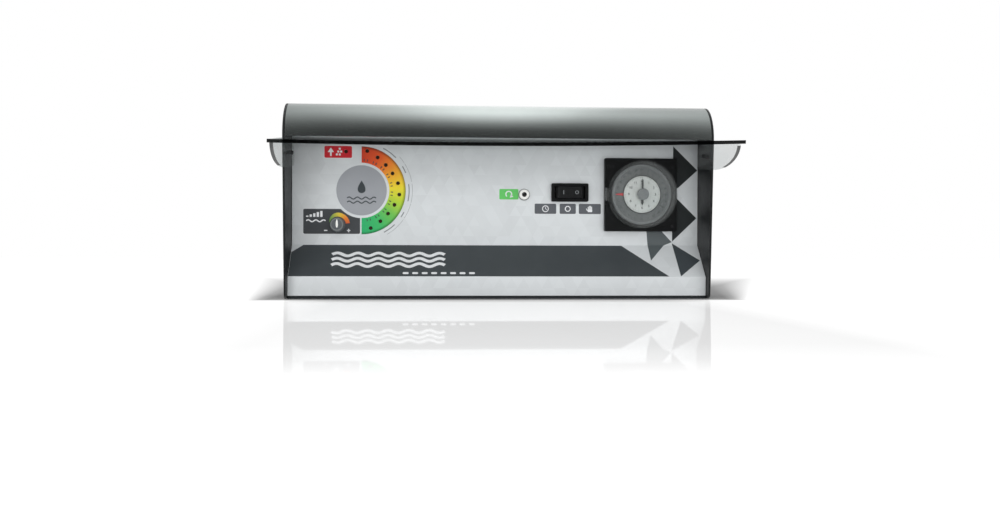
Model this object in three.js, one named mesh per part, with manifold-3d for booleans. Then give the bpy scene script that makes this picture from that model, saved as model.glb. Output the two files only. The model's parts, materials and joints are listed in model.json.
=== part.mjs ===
// Control unit of a salt chlorine generator, made to hang on a wall or stand on a bench.
// Millimetres. +X is the unit's right as its user faces it, +Y points to the wall behind it, +Z is up.
// The origin is on the underside of the base, at half the width, in the plane of the control panel's face.
import * as THREE from "three";
import { mergeVertices } from "three/addons/utils/BufferGeometryUtils.js";
import Module from "manifold-3d";

const wasm = await Module();
wasm.setup();

// ---------------------------------------------------------------- driving dimensions
const GAP = 0.3; // clearance between pieces that touch

// Case
const INNER_WIDTH = 400;
const CAP_THICKNESS = 2;
const REAR_Y = 73;
const BASE_THICKNESS = 2.6;
const LIP_Y = -31.1;
const LIP_TOP_Z = 20.9;
const FOLD_Z = 51.4; // where the upright panel turns into the slope
const PANEL_THICKNESS = 1.5;
const HOOD_THICKNESS = 2.4;
const HOOD_RADIUS = 34;
const HOOD_FRONT_Y = -50;
const HOOD_EDGE_Z = 150.9;
const HOOD_LIP = 0.3; // the straight edge below the barrel's round
const HOOD_REAR_RADIUS = 10;
const HOOD_REAR_Z = 145;
const CAP_FOOT_Y = -40; // front of an end cap at its foot
const CAP_FOOT_RADIUS = 6;
const BAY_Y = 29; // front wall of the cable bay
const BAY_Z = 40; // ceiling of the cable bay
const BACK_THICKNESS = 2.5;
const POST_WIDTH = 10;
const POST_DEPTH = 8;

// Case screws: sheet screws through the caps into the back panel's posts, heads sunk in the caps
const CASE_SCREW_HEIGHTS = [58, 130];
const SCREW_HEAD_RADIUS = 3.5;
const SCREW_HEAD_DEPTH = 1.1;
const SCREW_SHANK_RADIUS = 1.6;
const SCREW_LENGTH = 11;

// Keyholes in the back panel: the round part passes over a screw's head, the slot hangs on its shank
const KEYHOLE_XS = [-78, 78];
const KEYHOLE_Z = 110;
const KEYHOLE_RADIUS = 4.5;
const KEYHOLE_SLOT = [4.6, 14];

// Lid
const PIVOT_Y = -36.5;
const PIVOT_Z = 136.7;
const LID_TILT = THREE.MathUtils.degToRad(6.74); // the open lid leans down towards the user
const LID_HALF_WIDTH = INNER_WIDTH / 2 - 1;
const LID_THICKNESS = 3;
const LID_OFFSET = 13.2; // from the pivot to the middle of the plate
const LID_FRONT = -117.7;
const LID_REAR = 7.2;
const LID_SAG = 2.4; // how far the middle of the free edge hangs below its ends
const LID_TWIST = 2.9; // how far its right front corner stands above its left one
const CHEEK_FRONT = -104.5;
const CHEEK_CORNER = -17.5;
const CHEEK_DEPTH = 24.3;
const CHEEK_REAR_RADIUS = 26;
const EAR_BEVEL = [3, 6];
const PIN_RADIUS = 1.8;
const PIN_INNER_X = 193.5;

// Controls, as places on the panel's face: [x, z]
const GAUGE_AT = [-132.75, 104.2];
const GAUGE_LED_RADII = [37.4, 40]; // half the width and half the height of the curve that the lamps stand on
const GAUGE_LED_POWER = 1.47; // below 2, the curve is a rounded diamond
const GAUGE_LEDS = 10;
const GAUGE_FIRST_ANGLE = 82; // degrees above +X, for the lamp at full output
const GAUGE_STEP = 17.6;
const SALT_LED_AT = [-147.8, 141.9];
const KNOB_AT = [-155.8, 70.7];
const RESET_AT = [26.1, 101];
const SWITCH_AT = [71.2, 103.3];
const TIMER_AT = [141.3, 101.3];

const LED_RADIUS = 1.5;
const LED_HOLE_RADIUS = 1.9;
const BUSH_RADIUS = 3.2;
const BUSH_HOLE_RADIUS = 3.6;
const KNOB_RADIUS = 6.8;
const SHAFT_RADIUS = 1.5;
const BUTTON_RADIUS = 1.9;
const COLLAR_RADIUS = 5;
const BREAKER_SIZE = [14, 32];
const SWITCH_SIZE = [36.7, 18];
const SWITCH_BEZEL_DEPTH = 4.5;
const SWITCH_BODY_SIZE = [31, 13];
const ROCKER_RADIUS = 14.7;
const ROCKER_PIVOT_DEPTH = 2;
const ROCKER_HEIGHT = 11.4;
const ROCKER_TIP = 9.6; // how far its raised ends stand in front of its pivot
const ROCKER_BACK = 2.6;
const ROCKER_VALLEY = 5.4;

// Time switch: the usual 72 mm square panel size
const TIMER_SIZE = 72;
const TIMER_BODY = 66;
const TIMER_DEPTH = 45;
const BEZEL_DEPTH = 6;
const DIAL_RADIUS = 29.5;
const DIAL_BACK = 0.8; // distances out of the panel's face, from here to the hub
const DIAL_WEB = 2.6;
const DIAL_RIM = 9.5;
const TAPPET_FRONT = 10.5;
const FACE_FRONT = 12;
const FACE_THICKNESS = 1.5;
const HAND_THICKNESS = 0.8;
const HUB_DEPTH = 4;
const SPINDLE_RADIUS = 4;
const FACE_RADIUS = 18;
const TAPPETS = 24;
const TAPPET_SIZE = [2.4, 3.6];
const HUB_RADIUS = 5.6;
const COVER_RADIUS = 33;
const COVER_FRONT = 22.5;
const COVER_WALL = 1.6;
const HINGE_X = -35; // the cover's hinge line, from the timer's centre
const HINGE_OUT = 9;
const HINGE_PIN_RADIUS = 0.8;
const HINGE_HALF_HEIGHT = 9.4;

// Inside
const BOARD_OUT = -10; // the circuit board's front, behind the panel's face
const BOARD_THICKNESS = 1.6;
const BOARD_CENTRE = [-135, 104.5];
const BOARD_SIZE = [116, 96];
const STANDOFF_SPREAD = [52, 42];
const STANDOFF_RADIUS = 2.8;
const HEATSINK_BASE = [90, 5]; // its plate, in X and Y
const HEATSINK_FRONT_Y = 38;
const HEATSINK_HEIGHTS = [60, 140];
const HEATSINK_FINS = 9;
const FIN_THICKNESS = 2;
const RECTIFIER_SIZE = [28, 28];
const RECTIFIER_DEPTH = 7.7;
const TOROID_AT = [-24, 97];
const TOROID_RADII = [14, 42];
const TOROID_FRONT_Y = 26;
const TOROID_DEPTH = 40;
const TERMINAL_WAYS = 6;
const TERMINAL_PITCH = 12;

// Cable bay
const GLANDS = [
  { name: "mains_gland", x: 40, thread: 8, bore: 3.6 },
  { name: "cell_gland", x: -60, thread: 10, bore: 5 },
];
const OUTLET_X = 116;
const OUTLET_SIZE = [36, 30];
const OUTLET_FLANGE = [44, 36];

// ---------------------------------------------------------------- materials
function material(color, roughness, metalness = 0, opacity = 1) {
  return new THREE.MeshStandardMaterial({ color, roughness, metalness, opacity, transparent: opacity < 1 });
}
const paint = {
  charcoal: material(0x2b3031, 0.35, 0.2),
  black: material(0x151617, 0.5),
  darkSheet: material(0x1c1e1f, 0.5, 0.3),
  silver: material(0xb4b9bd, 0.45, 0.2),
  clear: material(0x9aa09f, 0.1, 0, 0.3),
  steel: material(0x8f9294, 0.3, 0.9),
  greyKnob: material(0x6d7275, 0.5),
  white: material(0xe9eae6, 0.4),
  dial: material(0x7f8583, 0.5),
  clock: material(0xdfe2dd, 0.5),
  hands: material(0x2d3132, 0.5),
  hub: material(0x7c8180, 0.5),
  red: material(0xb01822, 0.4),
  lamp: material(0x3a2a1c, 0.3),
  board: material(0x1f6b3a, 0.5),
  brass: material(0xb08d3c, 0.35, 0.8),
  copper: material(0x9c5a2c, 0.5, 0.3),
  aluminium: material(0xa8abae, 0.4, 0.8),
  nylon: material(0xd8d6cc, 0.6),
};

// ---------------------------------------------------------------- solids
function solidOf(geometry) {
  const bare = geometry.clone();
  bare.deleteAttribute("normal");
  bare.deleteAttribute("uv");
  const merged = mergeVertices(bare, 1e-4);
  const kept = [];
  const index = merged.index.array;
  for (let i = 0; i < index.length; i += 3) {
    const [a, b, c] = index.slice(i, i + 3);
    if (a !== b && b !== c && a !== c) kept.push(a, b, c);
  }
  const vertProperties = merged.attributes.position.array;
  const made = (triVerts) => new wasm.Manifold(new wasm.Mesh({ numProp: 3, vertProperties, triVerts }));
  const first = made(new Uint32Array(kept));
  return first.volume() > 0 ? first : made(new Uint32Array(kept.reverse()));
}

function geometryOf(solid) {
  const found = solid.getMesh();
  const geometry = new THREE.BufferGeometry();
  geometry.setAttribute("position", new THREE.BufferAttribute(found.vertProperties.slice(), 3));
  geometry.setIndex(new THREE.BufferAttribute(found.triVerts.slice(), 1));
  geometry.computeVertexNormals();
  return geometry;
}

const joined = (first, ...rest) => rest.reduce((sum, next) => sum.add(solidOf(next)), solidOf(first));
const cut = (solid, ...tools) => tools.reduce((left, tool) => left.subtract(solidOf(tool)), solid);

function mesh(name, solid, look, position = [0, 0, 0]) {
  const made = new THREE.Mesh(geometryOf(solid), look);
  made.name = name;
  made.position.set(...position);
  return made;
}

function group(position, ...children) {
  const made = new THREE.Group();
  made.position.set(...position);
  made.add(...children);
  return made;
}

// ---------------------------------------------------------------- outlines
const polygon = (points) => new THREE.Shape(points.map(([a, b]) => new THREE.Vector2(a, b)));

function arc(centre, radius, fromDegrees, toDegrees, steps) {
  return Array.from({ length: steps + 1 }, (_, i) => {
    const angle = THREE.MathUtils.degToRad(fromDegrees + ((toDegrees - fromDegrees) * i) / steps);
    return [centre[0] + radius * Math.cos(angle), centre[1] + radius * Math.sin(angle)];
  });
}

function circle(x, y, radius) {
  return new THREE.Path().absarc(x, y, radius, 0, 2 * Math.PI, true);
}

function rectangle(width, height, radius = 0, x = 0, y = 0) {
  const a = width / 2 - radius;
  const b = height / 2 - radius;
  if (!radius) return polygon([[x - a, y - b], [x + a, y - b], [x + a, y + b], [x - a, y + b]]);
  return polygon([
    ...arc([x + a, y - b], radius, -90, 0, 4),
    ...arc([x + a, y + b], radius, 0, 90, 4),
    ...arc([x - a, y + b], radius, 90, 180, 4),
    ...arc([x - a, y - b], radius, 180, 270, 4),
  ]);
}

// The section of a sheet bent along a line. It lies to the line's left if its thickness is positive.
function bentSheet(line, thickness) {
  const leftOf = (p, q) => {
    const length = Math.hypot(q[0] - p[0], q[1] - p[1]);
    return [(p[1] - q[1]) / length, (q[0] - p[0]) / length];
  };
  const inner = line.map((point, i) => {
    const before = i > 0 ? leftOf(line[i - 1], point) : leftOf(point, line[i + 1]);
    const after = i < line.length - 1 ? leftOf(point, line[i + 1]) : before;
    const share = thickness / (1 + before[0] * after[0] + before[1] * after[1]);
    return [point[0] + share * (before[0] + after[0]), point[1] + share * (before[1] + after[1])];
  });
  return polygon([...line, ...inner.reverse()]);
}

// ---------------------------------------------------------------- swept geometry
const X = new THREE.Vector3(1, 0, 0);
const Y = new THREE.Vector3(0, 1, 0);
const Z = new THREE.Vector3(0, 0, 1);
const SECTION_TO_WORLD = new THREE.Matrix4().makeBasis(Y, Z, X);
const FACE_TO_WORLD = new THREE.Matrix4().makeBasis(X, Z, Y.clone().negate());

const extrude = (shape, depth, curveSegments = 12) =>
  new THREE.ExtrudeGeometry(shape, { depth, bevelEnabled: false, curveSegments });

// A section drawn in Y and Z, run from one X to another.
const alongX = (shape, from, to) =>
  extrude(shape, to - from).applyMatrix4(SECTION_TO_WORLD).translate(from, 0, 0);

// An outline drawn in X and Z, run between two distances out of the panel's face, towards the user.
const outOfFace = (shape, from, to, curveSegments) =>
  extrude(shape, to - from, curveSegments).applyMatrix4(FACE_TO_WORLD).translate(0, -from, 0);

// An outline drawn in X and Y, run from one height to another.
const alongZ = (shape, from, to) => extrude(shape, to - from).translate(0, 0, from);

// A profile of [radius, distance out of the face], turned about an axis square to the panel.
const turned = (profile, segments = 24) =>
  new THREE.LatheGeometry(profile.map(([r, out]) => new THREE.Vector2(r, out)), segments).rotateX(Math.PI);

// A profile of [radius, height], turned about an upright axis.
const turnedUpright = (profile, segments = 16) =>
  new THREE.LatheGeometry(profile.map(([r, z]) => new THREE.Vector2(r, z)), segments).rotateX(Math.PI / 2);

const rodX = (radius, from, to, y, z, segments = 16) =>
  new THREE.CylinderGeometry(radius, radius, Math.abs(to - from), segments)
    .rotateZ(Math.PI / 2)
    .translate((from + to) / 2, y, z);

const ring = (inner, outer, from, to) => [
  [inner, from], [outer, from], [outer, to], [inner, to], [inner, from],
];
const rod = (radius, from, to) => [[0, from], [radius, from], [radius, to], [0, to]];

// ---------------------------------------------------------------- case
const SPAN = INNER_WIDTH / 2 - GAP; // half the width of what fits between the end caps
const OUTER = INNER_WIDTH / 2 + CAP_THICKNESS;
const HOOD_CENTRE = [HOOD_FRONT_Y + HOOD_RADIUS, HOOD_EDGE_Z + HOOD_LIP];
const HOOD_TOP_Z = HOOD_CENTRE[1] + HOOD_RADIUS;
const HOOD_REAR_CENTRE = [REAR_Y - HOOD_REAR_RADIUS, HOOD_TOP_Z - HOOD_REAR_RADIUS];
const BACK_FRONT_Y = REAR_Y - BACK_THICKNESS;
const SCREW_Y = BACK_FRONT_Y - POST_DEPTH / 2;
const CEILING = BAY_Z + BASE_THICKNESS;
const BAY_MIDDLE = (BAY_Y + REAR_Y) / 2;

function hood() {
  const line = [
    [HOOD_FRONT_Y, HOOD_EDGE_Z],
    ...arc(HOOD_CENTRE, HOOD_RADIUS, 180, 90, 16),
    ...arc(HOOD_REAR_CENTRE, HOOD_REAR_RADIUS, 90, 0, 5),
    [REAR_Y, HOOD_REAR_Z],
  ];
  return mesh("hood", solidOf(alongX(bentSheet(line, -HOOD_THICKNESS), -SPAN, SPAN)), paint.charcoal);
}

function endCap(side) {
  const outline = polygon([
    [REAR_Y, 0],
    ...arc(HOOD_REAR_CENTRE, HOOD_REAR_RADIUS, 0, 90, 5),
    ...arc(HOOD_CENTRE, HOOD_RADIUS, 90, 180, 16),
    ...arc([CAP_FOOT_Y + CAP_FOOT_RADIUS, CAP_FOOT_RADIUS], CAP_FOOT_RADIUS, 180, 270, 4),
  ]);
  const inner = (side * INNER_WIDTH) / 2;
  const outer = side * OUTER;
  const plate = solidOf(alongX(outline, Math.min(inner, outer), Math.max(inner, outer)));
  const holes = CASE_SCREW_HEIGHTS.flatMap((z) => [
    rodX(SCREW_SHANK_RADIUS + GAP, inner - side, outer + side, SCREW_Y, z),
    rodX(SCREW_HEAD_RADIUS + GAP, outer - side * (SCREW_HEAD_DEPTH + GAP), outer + side, SCREW_Y, z),
  ]);
  const pinHole = rodX(PIN_RADIUS + GAP, inner - side, outer + side, PIVOT_Y, PIVOT_Z);
  return cut(plate, ...holes, pinHole);
}

function caseScrew(side) {
  const outer = side * OUTER;
  const neck = outer - side * SCREW_HEAD_DEPTH;
  const head = rodX(SCREW_HEAD_RADIUS, neck, outer, 0, 0);
  const shank = rodX(SCREW_SHANK_RADIUS, outer - side * SCREW_LENGTH, neck + side * 0.1, 0, 0);
  return joined(head, shank);
}

function frontPanel() {
  const line = [
    [0, HOOD_TOP_Z - HOOD_THICKNESS - GAP],
    [0, FOLD_Z],
    [LIP_Y, LIP_TOP_Z],
    [LIP_Y, BASE_THICKNESS + GAP],
  ];
  const through = (shape, [x, z], segments) => outOfFace(shape, -5, 5, segments).translate(x, 0, z);
  const hole = (radius, at, segments = 10) =>
    through(new THREE.Shape().absarc(0, 0, radius, 0, 2 * Math.PI), at, segments);
  const timerHole = TIMER_BODY + 2 * GAP;
  return cut(
    solidOf(alongX(bentSheet(line, PANEL_THICKNESS), -SPAN, SPAN)),
    through(rectangle(timerHole, timerHole), TIMER_AT),
    through(rectangle(2 * ROCKER_RADIUS + 1.6, ROCKER_HEIGHT + 1.4), SWITCH_AT),
    hole(BUSH_HOLE_RADIUS, RESET_AT, 16),
    hole(BUSH_HOLE_RADIUS, KNOB_AT, 16),
    hole(LED_HOLE_RADIUS, SALT_LED_AT),
    ...gaugePlaces().map((at) => hole(LED_HOLE_RADIUS, at)),
  );
}

function basePanel() {
  const line = [[LIP_Y, 0], [BAY_Y, 0], [BAY_Y, BAY_Z], [BACK_FRONT_Y - GAP, BAY_Z]];
  const [width, depth] = OUTLET_SIZE;
  const glandHoles = GLANDS.map(({ x, thread }) =>
    turnedUpright(rod(thread + GAP, BAY_Z - 5, BAY_Z + 5)).translate(x, BAY_MIDDLE, 0),
  );
  const outletHole = alongZ(
    rectangle(width + 2 * GAP, depth + 2 * GAP, 0, OUTLET_X, BAY_MIDDLE),
    BAY_Z - 5,
    BAY_Z + 5,
  );
  return cut(solidOf(alongX(bentSheet(line, BASE_THICKNESS), -SPAN, SPAN)), ...glandHoles, outletHole);
}

function backPanel() {
  const top = HOOD_REAR_Z - GAP;
  const plate = rectangle(2 * SPAN, top - BAY_Z, 0, 0, (top + BAY_Z) / 2);
  const posts = [-1, 1].map((side) =>
    alongZ(
      rectangle(POST_WIDTH, POST_DEPTH, 0, side * (SPAN - POST_WIDTH / 2), SCREW_Y),
      CEILING + GAP,
      top,
    ).translate(0, 0.01, 0),
  );
  const screwHoles = [-1, 1].flatMap((side) =>
    CASE_SCREW_HEIGHTS.map((z) =>
      rodX(SCREW_SHANK_RADIUS + GAP, side * (SPAN - POST_WIDTH + 1), side * (SPAN + 1), SCREW_Y, z, 12),
    ),
  );
  const [slotWidth, slotHeight] = KEYHOLE_SLOT;
  const through = (shape) => outOfFace(shape, -BACK_FRONT_Y - 5, -BACK_FRONT_Y + 5, 16);
  const keyholes = KEYHOLE_XS.flatMap((x) => [
    through(new THREE.Shape().absarc(x, KEYHOLE_Z, KEYHOLE_RADIUS, 0, 2 * Math.PI)),
    through(rectangle(slotWidth, slotHeight, 0, x, KEYHOLE_Z + slotHeight / 2)),
  ]);
  return cut(joined(outOfFace(plate, -REAR_Y, -BACK_FRONT_Y), ...posts), ...screwHoles, ...keyholes);
}

// ---------------------------------------------------------------- lid
// The lid's own frame: its pivot is the origin, Y runs back along the plate, Z is square to the plate.
// The free edge sags between its corners, and one corner stands higher than the other.
function bowed(geometry) {
  const places = geometry.attributes.position;
  for (let i = 0; i < places.count; i++) {
    const across = places.getX(i) / LID_HALF_WIDTH;
    const along = (LID_REAR - places.getY(i)) / (LID_REAR - LID_FRONT);
    const rise = (LID_TWIST / 2) * across - LID_SAG * (1 - across ** 2);
    places.setZ(i, places.getZ(i) + rise * along);
  }
  return geometry;
}

function lid() {
  const plate = new THREE.BoxGeometry(2 * LID_HALF_WIDTH, LID_REAR - LID_FRONT, LID_THICKNESS, 20, 4, 1);
  plate.translate(0, (LID_FRONT + LID_REAR) / 2, LID_OFFSET);
  const underside = LID_OFFSET - LID_THICKNESS / 2;
  const curve = arc([0, 0], 1, 180, 270, 12).map(([a, b]) => [
    CHEEK_CORNER + (CHEEK_CORNER - CHEEK_FRONT) * a,
    underside + CHEEK_DEPTH * b,
  ]);
  const lowAngle = THREE.MathUtils.radToDeg(Math.asin((underside - CHEEK_DEPTH) / CHEEK_REAR_RADIUS));
  const cheek = polygon([
    [CHEEK_FRONT, LID_OFFSET],
    ...curve,
    ...arc([0, 0], CHEEK_REAR_RADIUS, lowAngle, 0, 4),
    [CHEEK_REAR_RADIUS - EAR_BEVEL[0], EAR_BEVEL[1]],
    [LID_REAR, underside],
    [LID_REAR, LID_OFFSET],
  ]);
  const cheeks = [-1, 1].map((side) => {
    const outer = side * LID_HALF_WIDTH;
    const inner = outer - side * LID_THICKNESS;
    return bowed(alongX(cheek, Math.min(inner, outer), Math.max(inner, outer)));
  });
  const pinHoles = [-1, 1].map((side) =>
    rodX(PIN_RADIUS + GAP, side * (LID_HALF_WIDTH - 5), side * (LID_HALF_WIDTH + 1), 0, 0),
  );
  const made = mesh("lid", cut(joined(bowed(plate), ...cheeks), ...pinHoles), paint.clear);
  const hung = group([0, PIVOT_Y, PIVOT_Z], made);
  hung.rotation.x = LID_TILT;
  return hung;
}

function lidPin(side) {
  return solidOf(rodX(PIN_RADIUS, side * PIN_INNER_X, side * (OUTER - 0.2), 0, 0));
}

// ---------------------------------------------------------------- gauge lamps and output knob
function gaugePlaces() {
  const [halfWidth, halfHeight] = GAUGE_LED_RADII;
  return Array.from({ length: GAUGE_LEDS }, (_, i) => {
    const angle = THREE.MathUtils.degToRad(GAUGE_FIRST_ANGLE - GAUGE_STEP * i);
    const a = Math.cos(angle);
    const b = Math.sin(angle);
    const power = GAUGE_LED_POWER;
    const reach = ((Math.abs(a) / halfWidth) ** power + (Math.abs(b) / halfHeight) ** power) ** (-1 / power);
    return [GAUGE_AT[0] + reach * a, GAUGE_AT[1] + reach * b];
  });
}

function lamp() {
  const foot = BOARD_OUT + GAP;
  return solidOf(turned([[0, foot], [LED_RADIUS, foot], [LED_RADIUS, -0.6], [1, -0.1], [0, 0.1]], 10));
}

function outputKnob() {
  const skirt = KNOB_RADIUS + 0.6;
  const socket = SHAFT_RADIUS + GAP;
  const knobProfile = [
    [socket, 0.6], [skirt, 0.6], [skirt, 1.6], [KNOB_RADIUS, 2.2], [KNOB_RADIUS - 0.4, 9],
    [KNOB_RADIUS - 1.2, 9.6], [0, 9.6], [0, 7], [socket, 7], [socket, 0.6],
  ];
  const potBack = BOARD_OUT + 0.4;
  const potFront = -PANEL_THICKNESS - 0.6;
  const potProfile = [
    [0, potBack], [8, potBack], [8, potFront], [BUSH_RADIUS, potFront], [BUSH_RADIUS, 0.2],
    [socket, 0.2], [socket, -2.7], [0, -2.7],
  ];
  return group(
    [KNOB_AT[0], 0, KNOB_AT[1]],
    mesh("control_knob", solidOf(turned(knobProfile, 24)), paint.greyKnob),
    mesh("knob_shaft", solidOf(turned(rod(SHAFT_RADIUS, -2.4, 7 - GAP), 12)), paint.steel),
    mesh("potentiometer", solidOf(turned(potProfile, 16)), paint.darkSheet),
  );
}

// ---------------------------------------------------------------- reset breaker
function resetBreaker() {
  const bore = BUTTON_RADIUS + 0.4;
  const collarProfile = [
    [BUSH_HOLE_RADIUS, GAP], [COLLAR_RADIUS, GAP], [COLLAR_RADIUS, 2.6], [4.2, 3.8], [3, 4.2], [bore, 4],
    [bore, 3.4], [BUSH_HOLE_RADIUS, 3.4], [BUSH_HOLE_RADIUS, GAP],
  ];
  const buttonProfile = [[0, -12], [BUTTON_RADIUS, -12], [BUTTON_RADIUS, 4.6], [1.4, 5.1], [0, 5.2]];
  const front = -PANEL_THICKNESS - 0.6;
  const body = joined(
    outOfFace(rectangle(...BREAKER_SIZE, 1), -24, front),
    turned(rod(BUSH_RADIUS, front - 0.1, 3.1), 16),
  );
  return group(
    [RESET_AT[0], 0, RESET_AT[1]],
    mesh("reset_collar", solidOf(turned(collarProfile, 20)), paint.white),
    mesh("reset_button", solidOf(turned(buttonProfile, 14)), paint.black),
    mesh("breaker_body", cut(body, turned(rod(bore, -16, 5), 16)), paint.black),
  );
}

// ---------------------------------------------------------------- mode switch
function modeSwitch() {
  const opening = rectangle(2 * ROCKER_RADIUS + 2 * GAP, ROCKER_HEIGHT + 2 * GAP);
  const frame = rectangle(...SWITCH_SIZE, 2);
  frame.holes.push(new THREE.Path(opening.getPoints()));
  // Seen from above, the rocker's ends are arcs about its pivot, so that they clear the frame as it tips.
  const tip = THREE.MathUtils.radToDeg(Math.asin(ROCKER_TIP / ROCKER_RADIUS));
  const back = THREE.MathUtils.radToDeg(Math.asin(ROCKER_BACK / ROCKER_RADIUS));
  const plan = polygon([
    ...arc([0, ROCKER_PIVOT_DEPTH], ROCKER_RADIUS, -back, -tip, 4),
    [0, -ROCKER_VALLEY],
    ...arc([0, ROCKER_PIVOT_DEPTH], ROCKER_RADIUS, 180 + tip, 180 + back, 4),
  ]);
  const rocker = solidOf(alongZ(plan, -ROCKER_HEIGHT / 2, ROCKER_HEIGHT / 2));
  const body = outOfFace(rectangle(...SWITCH_BODY_SIZE), -26.1, -4);
  const lugs = [-11, -3.5, 3.5, 11].map((x) => outOfFace(rectangle(5, 0.8, 0, x, 0), -34, -26));
  return group(
    [SWITCH_AT[0], 0, SWITCH_AT[1]],
    mesh("switch_bezel", solidOf(outOfFace(frame, GAP, SWITCH_BEZEL_DEPTH)), paint.black),
    mesh("switch_rocker", rocker, paint.black),
    mesh("switch_body", joined(body, ...lugs), paint.black),
  );
}

// ---------------------------------------------------------------- time switch
const hingeBore = () =>
  turnedUpright(rod(HINGE_PIN_RADIUS + GAP, -12, 12), 12).translate(HINGE_X, -HINGE_OUT, 0);

function timerBezel() {
  const frame = rectangle(TIMER_SIZE, TIMER_SIZE, 2.5);
  frame.holes.push(circle(0, 0, DIAL_RADIUS + 1.2));
  const ears = [-1, 1].map((side) =>
    outOfFace(rectangle(3.8, 3, 0, HINGE_X + 0.1, side * 8), BEZEL_DEPTH, HINGE_OUT + 1.8),
  );
  return cut(joined(outOfFace(frame, GAP, BEZEL_DEPTH + GAP, 40), ...ears), hingeBore());
}

// A clear cup over the dial, hinged at its left.
function timerCover() {
  const back = BEZEL_DEPTH + 0.9;
  const inner = COVER_RADIUS - COVER_WALL;
  const ceiling = COVER_FRONT - COVER_WALL;
  const cup = turned([
    [inner, back], [COVER_RADIUS, back], [COVER_RADIUS, COVER_FRONT - 2], [COVER_RADIUS - 2, COVER_FRONT],
    [0, COVER_FRONT], [0, ceiling], [inner - 1, ceiling], [inner, ceiling - 1], [inner, back],
  ], 40);
  const strap = outOfFace(rectangle(3.6, 12, 0, HINGE_X + 1.9, 0), HINGE_OUT - 1, HINGE_OUT + 1.6);
  const knuckle = turnedUpright(rod(1.9, -6, 6), 14).translate(HINGE_X, -HINGE_OUT, 0);
  return cut(joined(cup, strap, knuckle), hingeBore());
}

// The day dial: a web on the spindle, a raised rim, and a tappet for each hour round the rim.
function timerDial() {
  const bore = SPINDLE_RADIUS + 0.4;
  const inside = FACE_RADIUS + 1;
  const disc = turned([
    [bore, DIAL_BACK], [DIAL_RADIUS - 1, DIAL_BACK], [DIAL_RADIUS - 1, DIAL_RIM], [inside, DIAL_RIM + 0.6],
    [inside, DIAL_WEB], [bore, DIAL_WEB], [bore, DIAL_BACK],
  ], 48);
  const tappet = rectangle(...TAPPET_SIZE, 0, DIAL_RADIUS - 1.4, 0);
  const tappets = Array.from({ length: TAPPETS }, (_, i) =>
    outOfFace(tappet, TAPPET_FRONT - 4, TAPPET_FRONT).rotateY((2 * Math.PI * i) / TAPPETS),
  );
  return joined(disc, ...tappets);
}

// A hand lies along +Z from its round boss.
function hand(length, width, from) {
  const to = from + HAND_THICKNESS;
  const shoulder = length * 0.7;
  const blade = polygon([
    [-width / 3, 0], [-width / 2, shoulder], [0, length], [width / 2, shoulder], [width / 3, 0],
  ]);
  return joined(turned(rod(3.4, from, to), 16), outOfFace(blade, from, to));
}

function timeSwitch() {
  const faceBack = FACE_FRONT - FACE_THICKNESS;
  const faceProfile = [
    [0, GAP], [SPINDLE_RADIUS, GAP], [SPINDLE_RADIUS, faceBack], [FACE_RADIUS, faceBack],
    [FACE_RADIUS, FACE_FRONT], [0, FACE_FRONT],
  ];
  const hourAt = FACE_FRONT + GAP;
  const minuteAt = hourAt + HAND_THICKNESS + GAP;
  const hubBack = minuteAt + HAND_THICKNESS + GAP;
  const hubFront = hubBack + HUB_DEPTH;
  const hourHand = mesh("hour_hand", hand(11, 2.6, hourAt), paint.hands);
  hourHand.rotation.y = Math.PI; // six o'clock
  const hubProfile = [
    [0, hubBack], [HUB_RADIUS, hubBack], [HUB_RADIUS, hubFront - 0.6], [HUB_RADIUS - 0.6, hubFront],
    [0, hubFront],
  ];
  const root = -FACE_RADIUS - 0.5;
  const pointer = polygon([[root, 0.9], [-DIAL_RADIUS + 2.5, 0], [root, -0.9]]);
  const pin = rod(HINGE_PIN_RADIUS, -HINGE_HALF_HEIGHT, HINGE_HALF_HEIGHT);
  const body = outOfFace(rectangle(TIMER_BODY, TIMER_BODY, 1), -TIMER_DEPTH, 0);
  return group(
    [TIMER_AT[0], 0, TIMER_AT[1]],
    mesh("timer_bezel", timerBezel(), paint.black),
    mesh("timer_body", solidOf(body), paint.black),
    mesh("timer_cover", timerCover(), paint.clear),
    mesh("timer_cover_pin", solidOf(turnedUpright(pin, 10).translate(HINGE_X, -HINGE_OUT, 0)), paint.steel),
    mesh("timer_dial", timerDial(), paint.dial),
    mesh("timer_clock_face", solidOf(turned(faceProfile, 40)), paint.clock),
    hourHand,
    mesh("minute_hand", hand(15.5, 2, minuteAt), paint.hands),
    mesh("timer_hub", solidOf(turned(hubProfile, 20)), paint.hub),
    mesh("timer_pointer", solidOf(outOfFace(pointer, TAPPET_FRONT + 0.4, TAPPET_FRONT + 1.2)), paint.red),
  );
}

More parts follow.
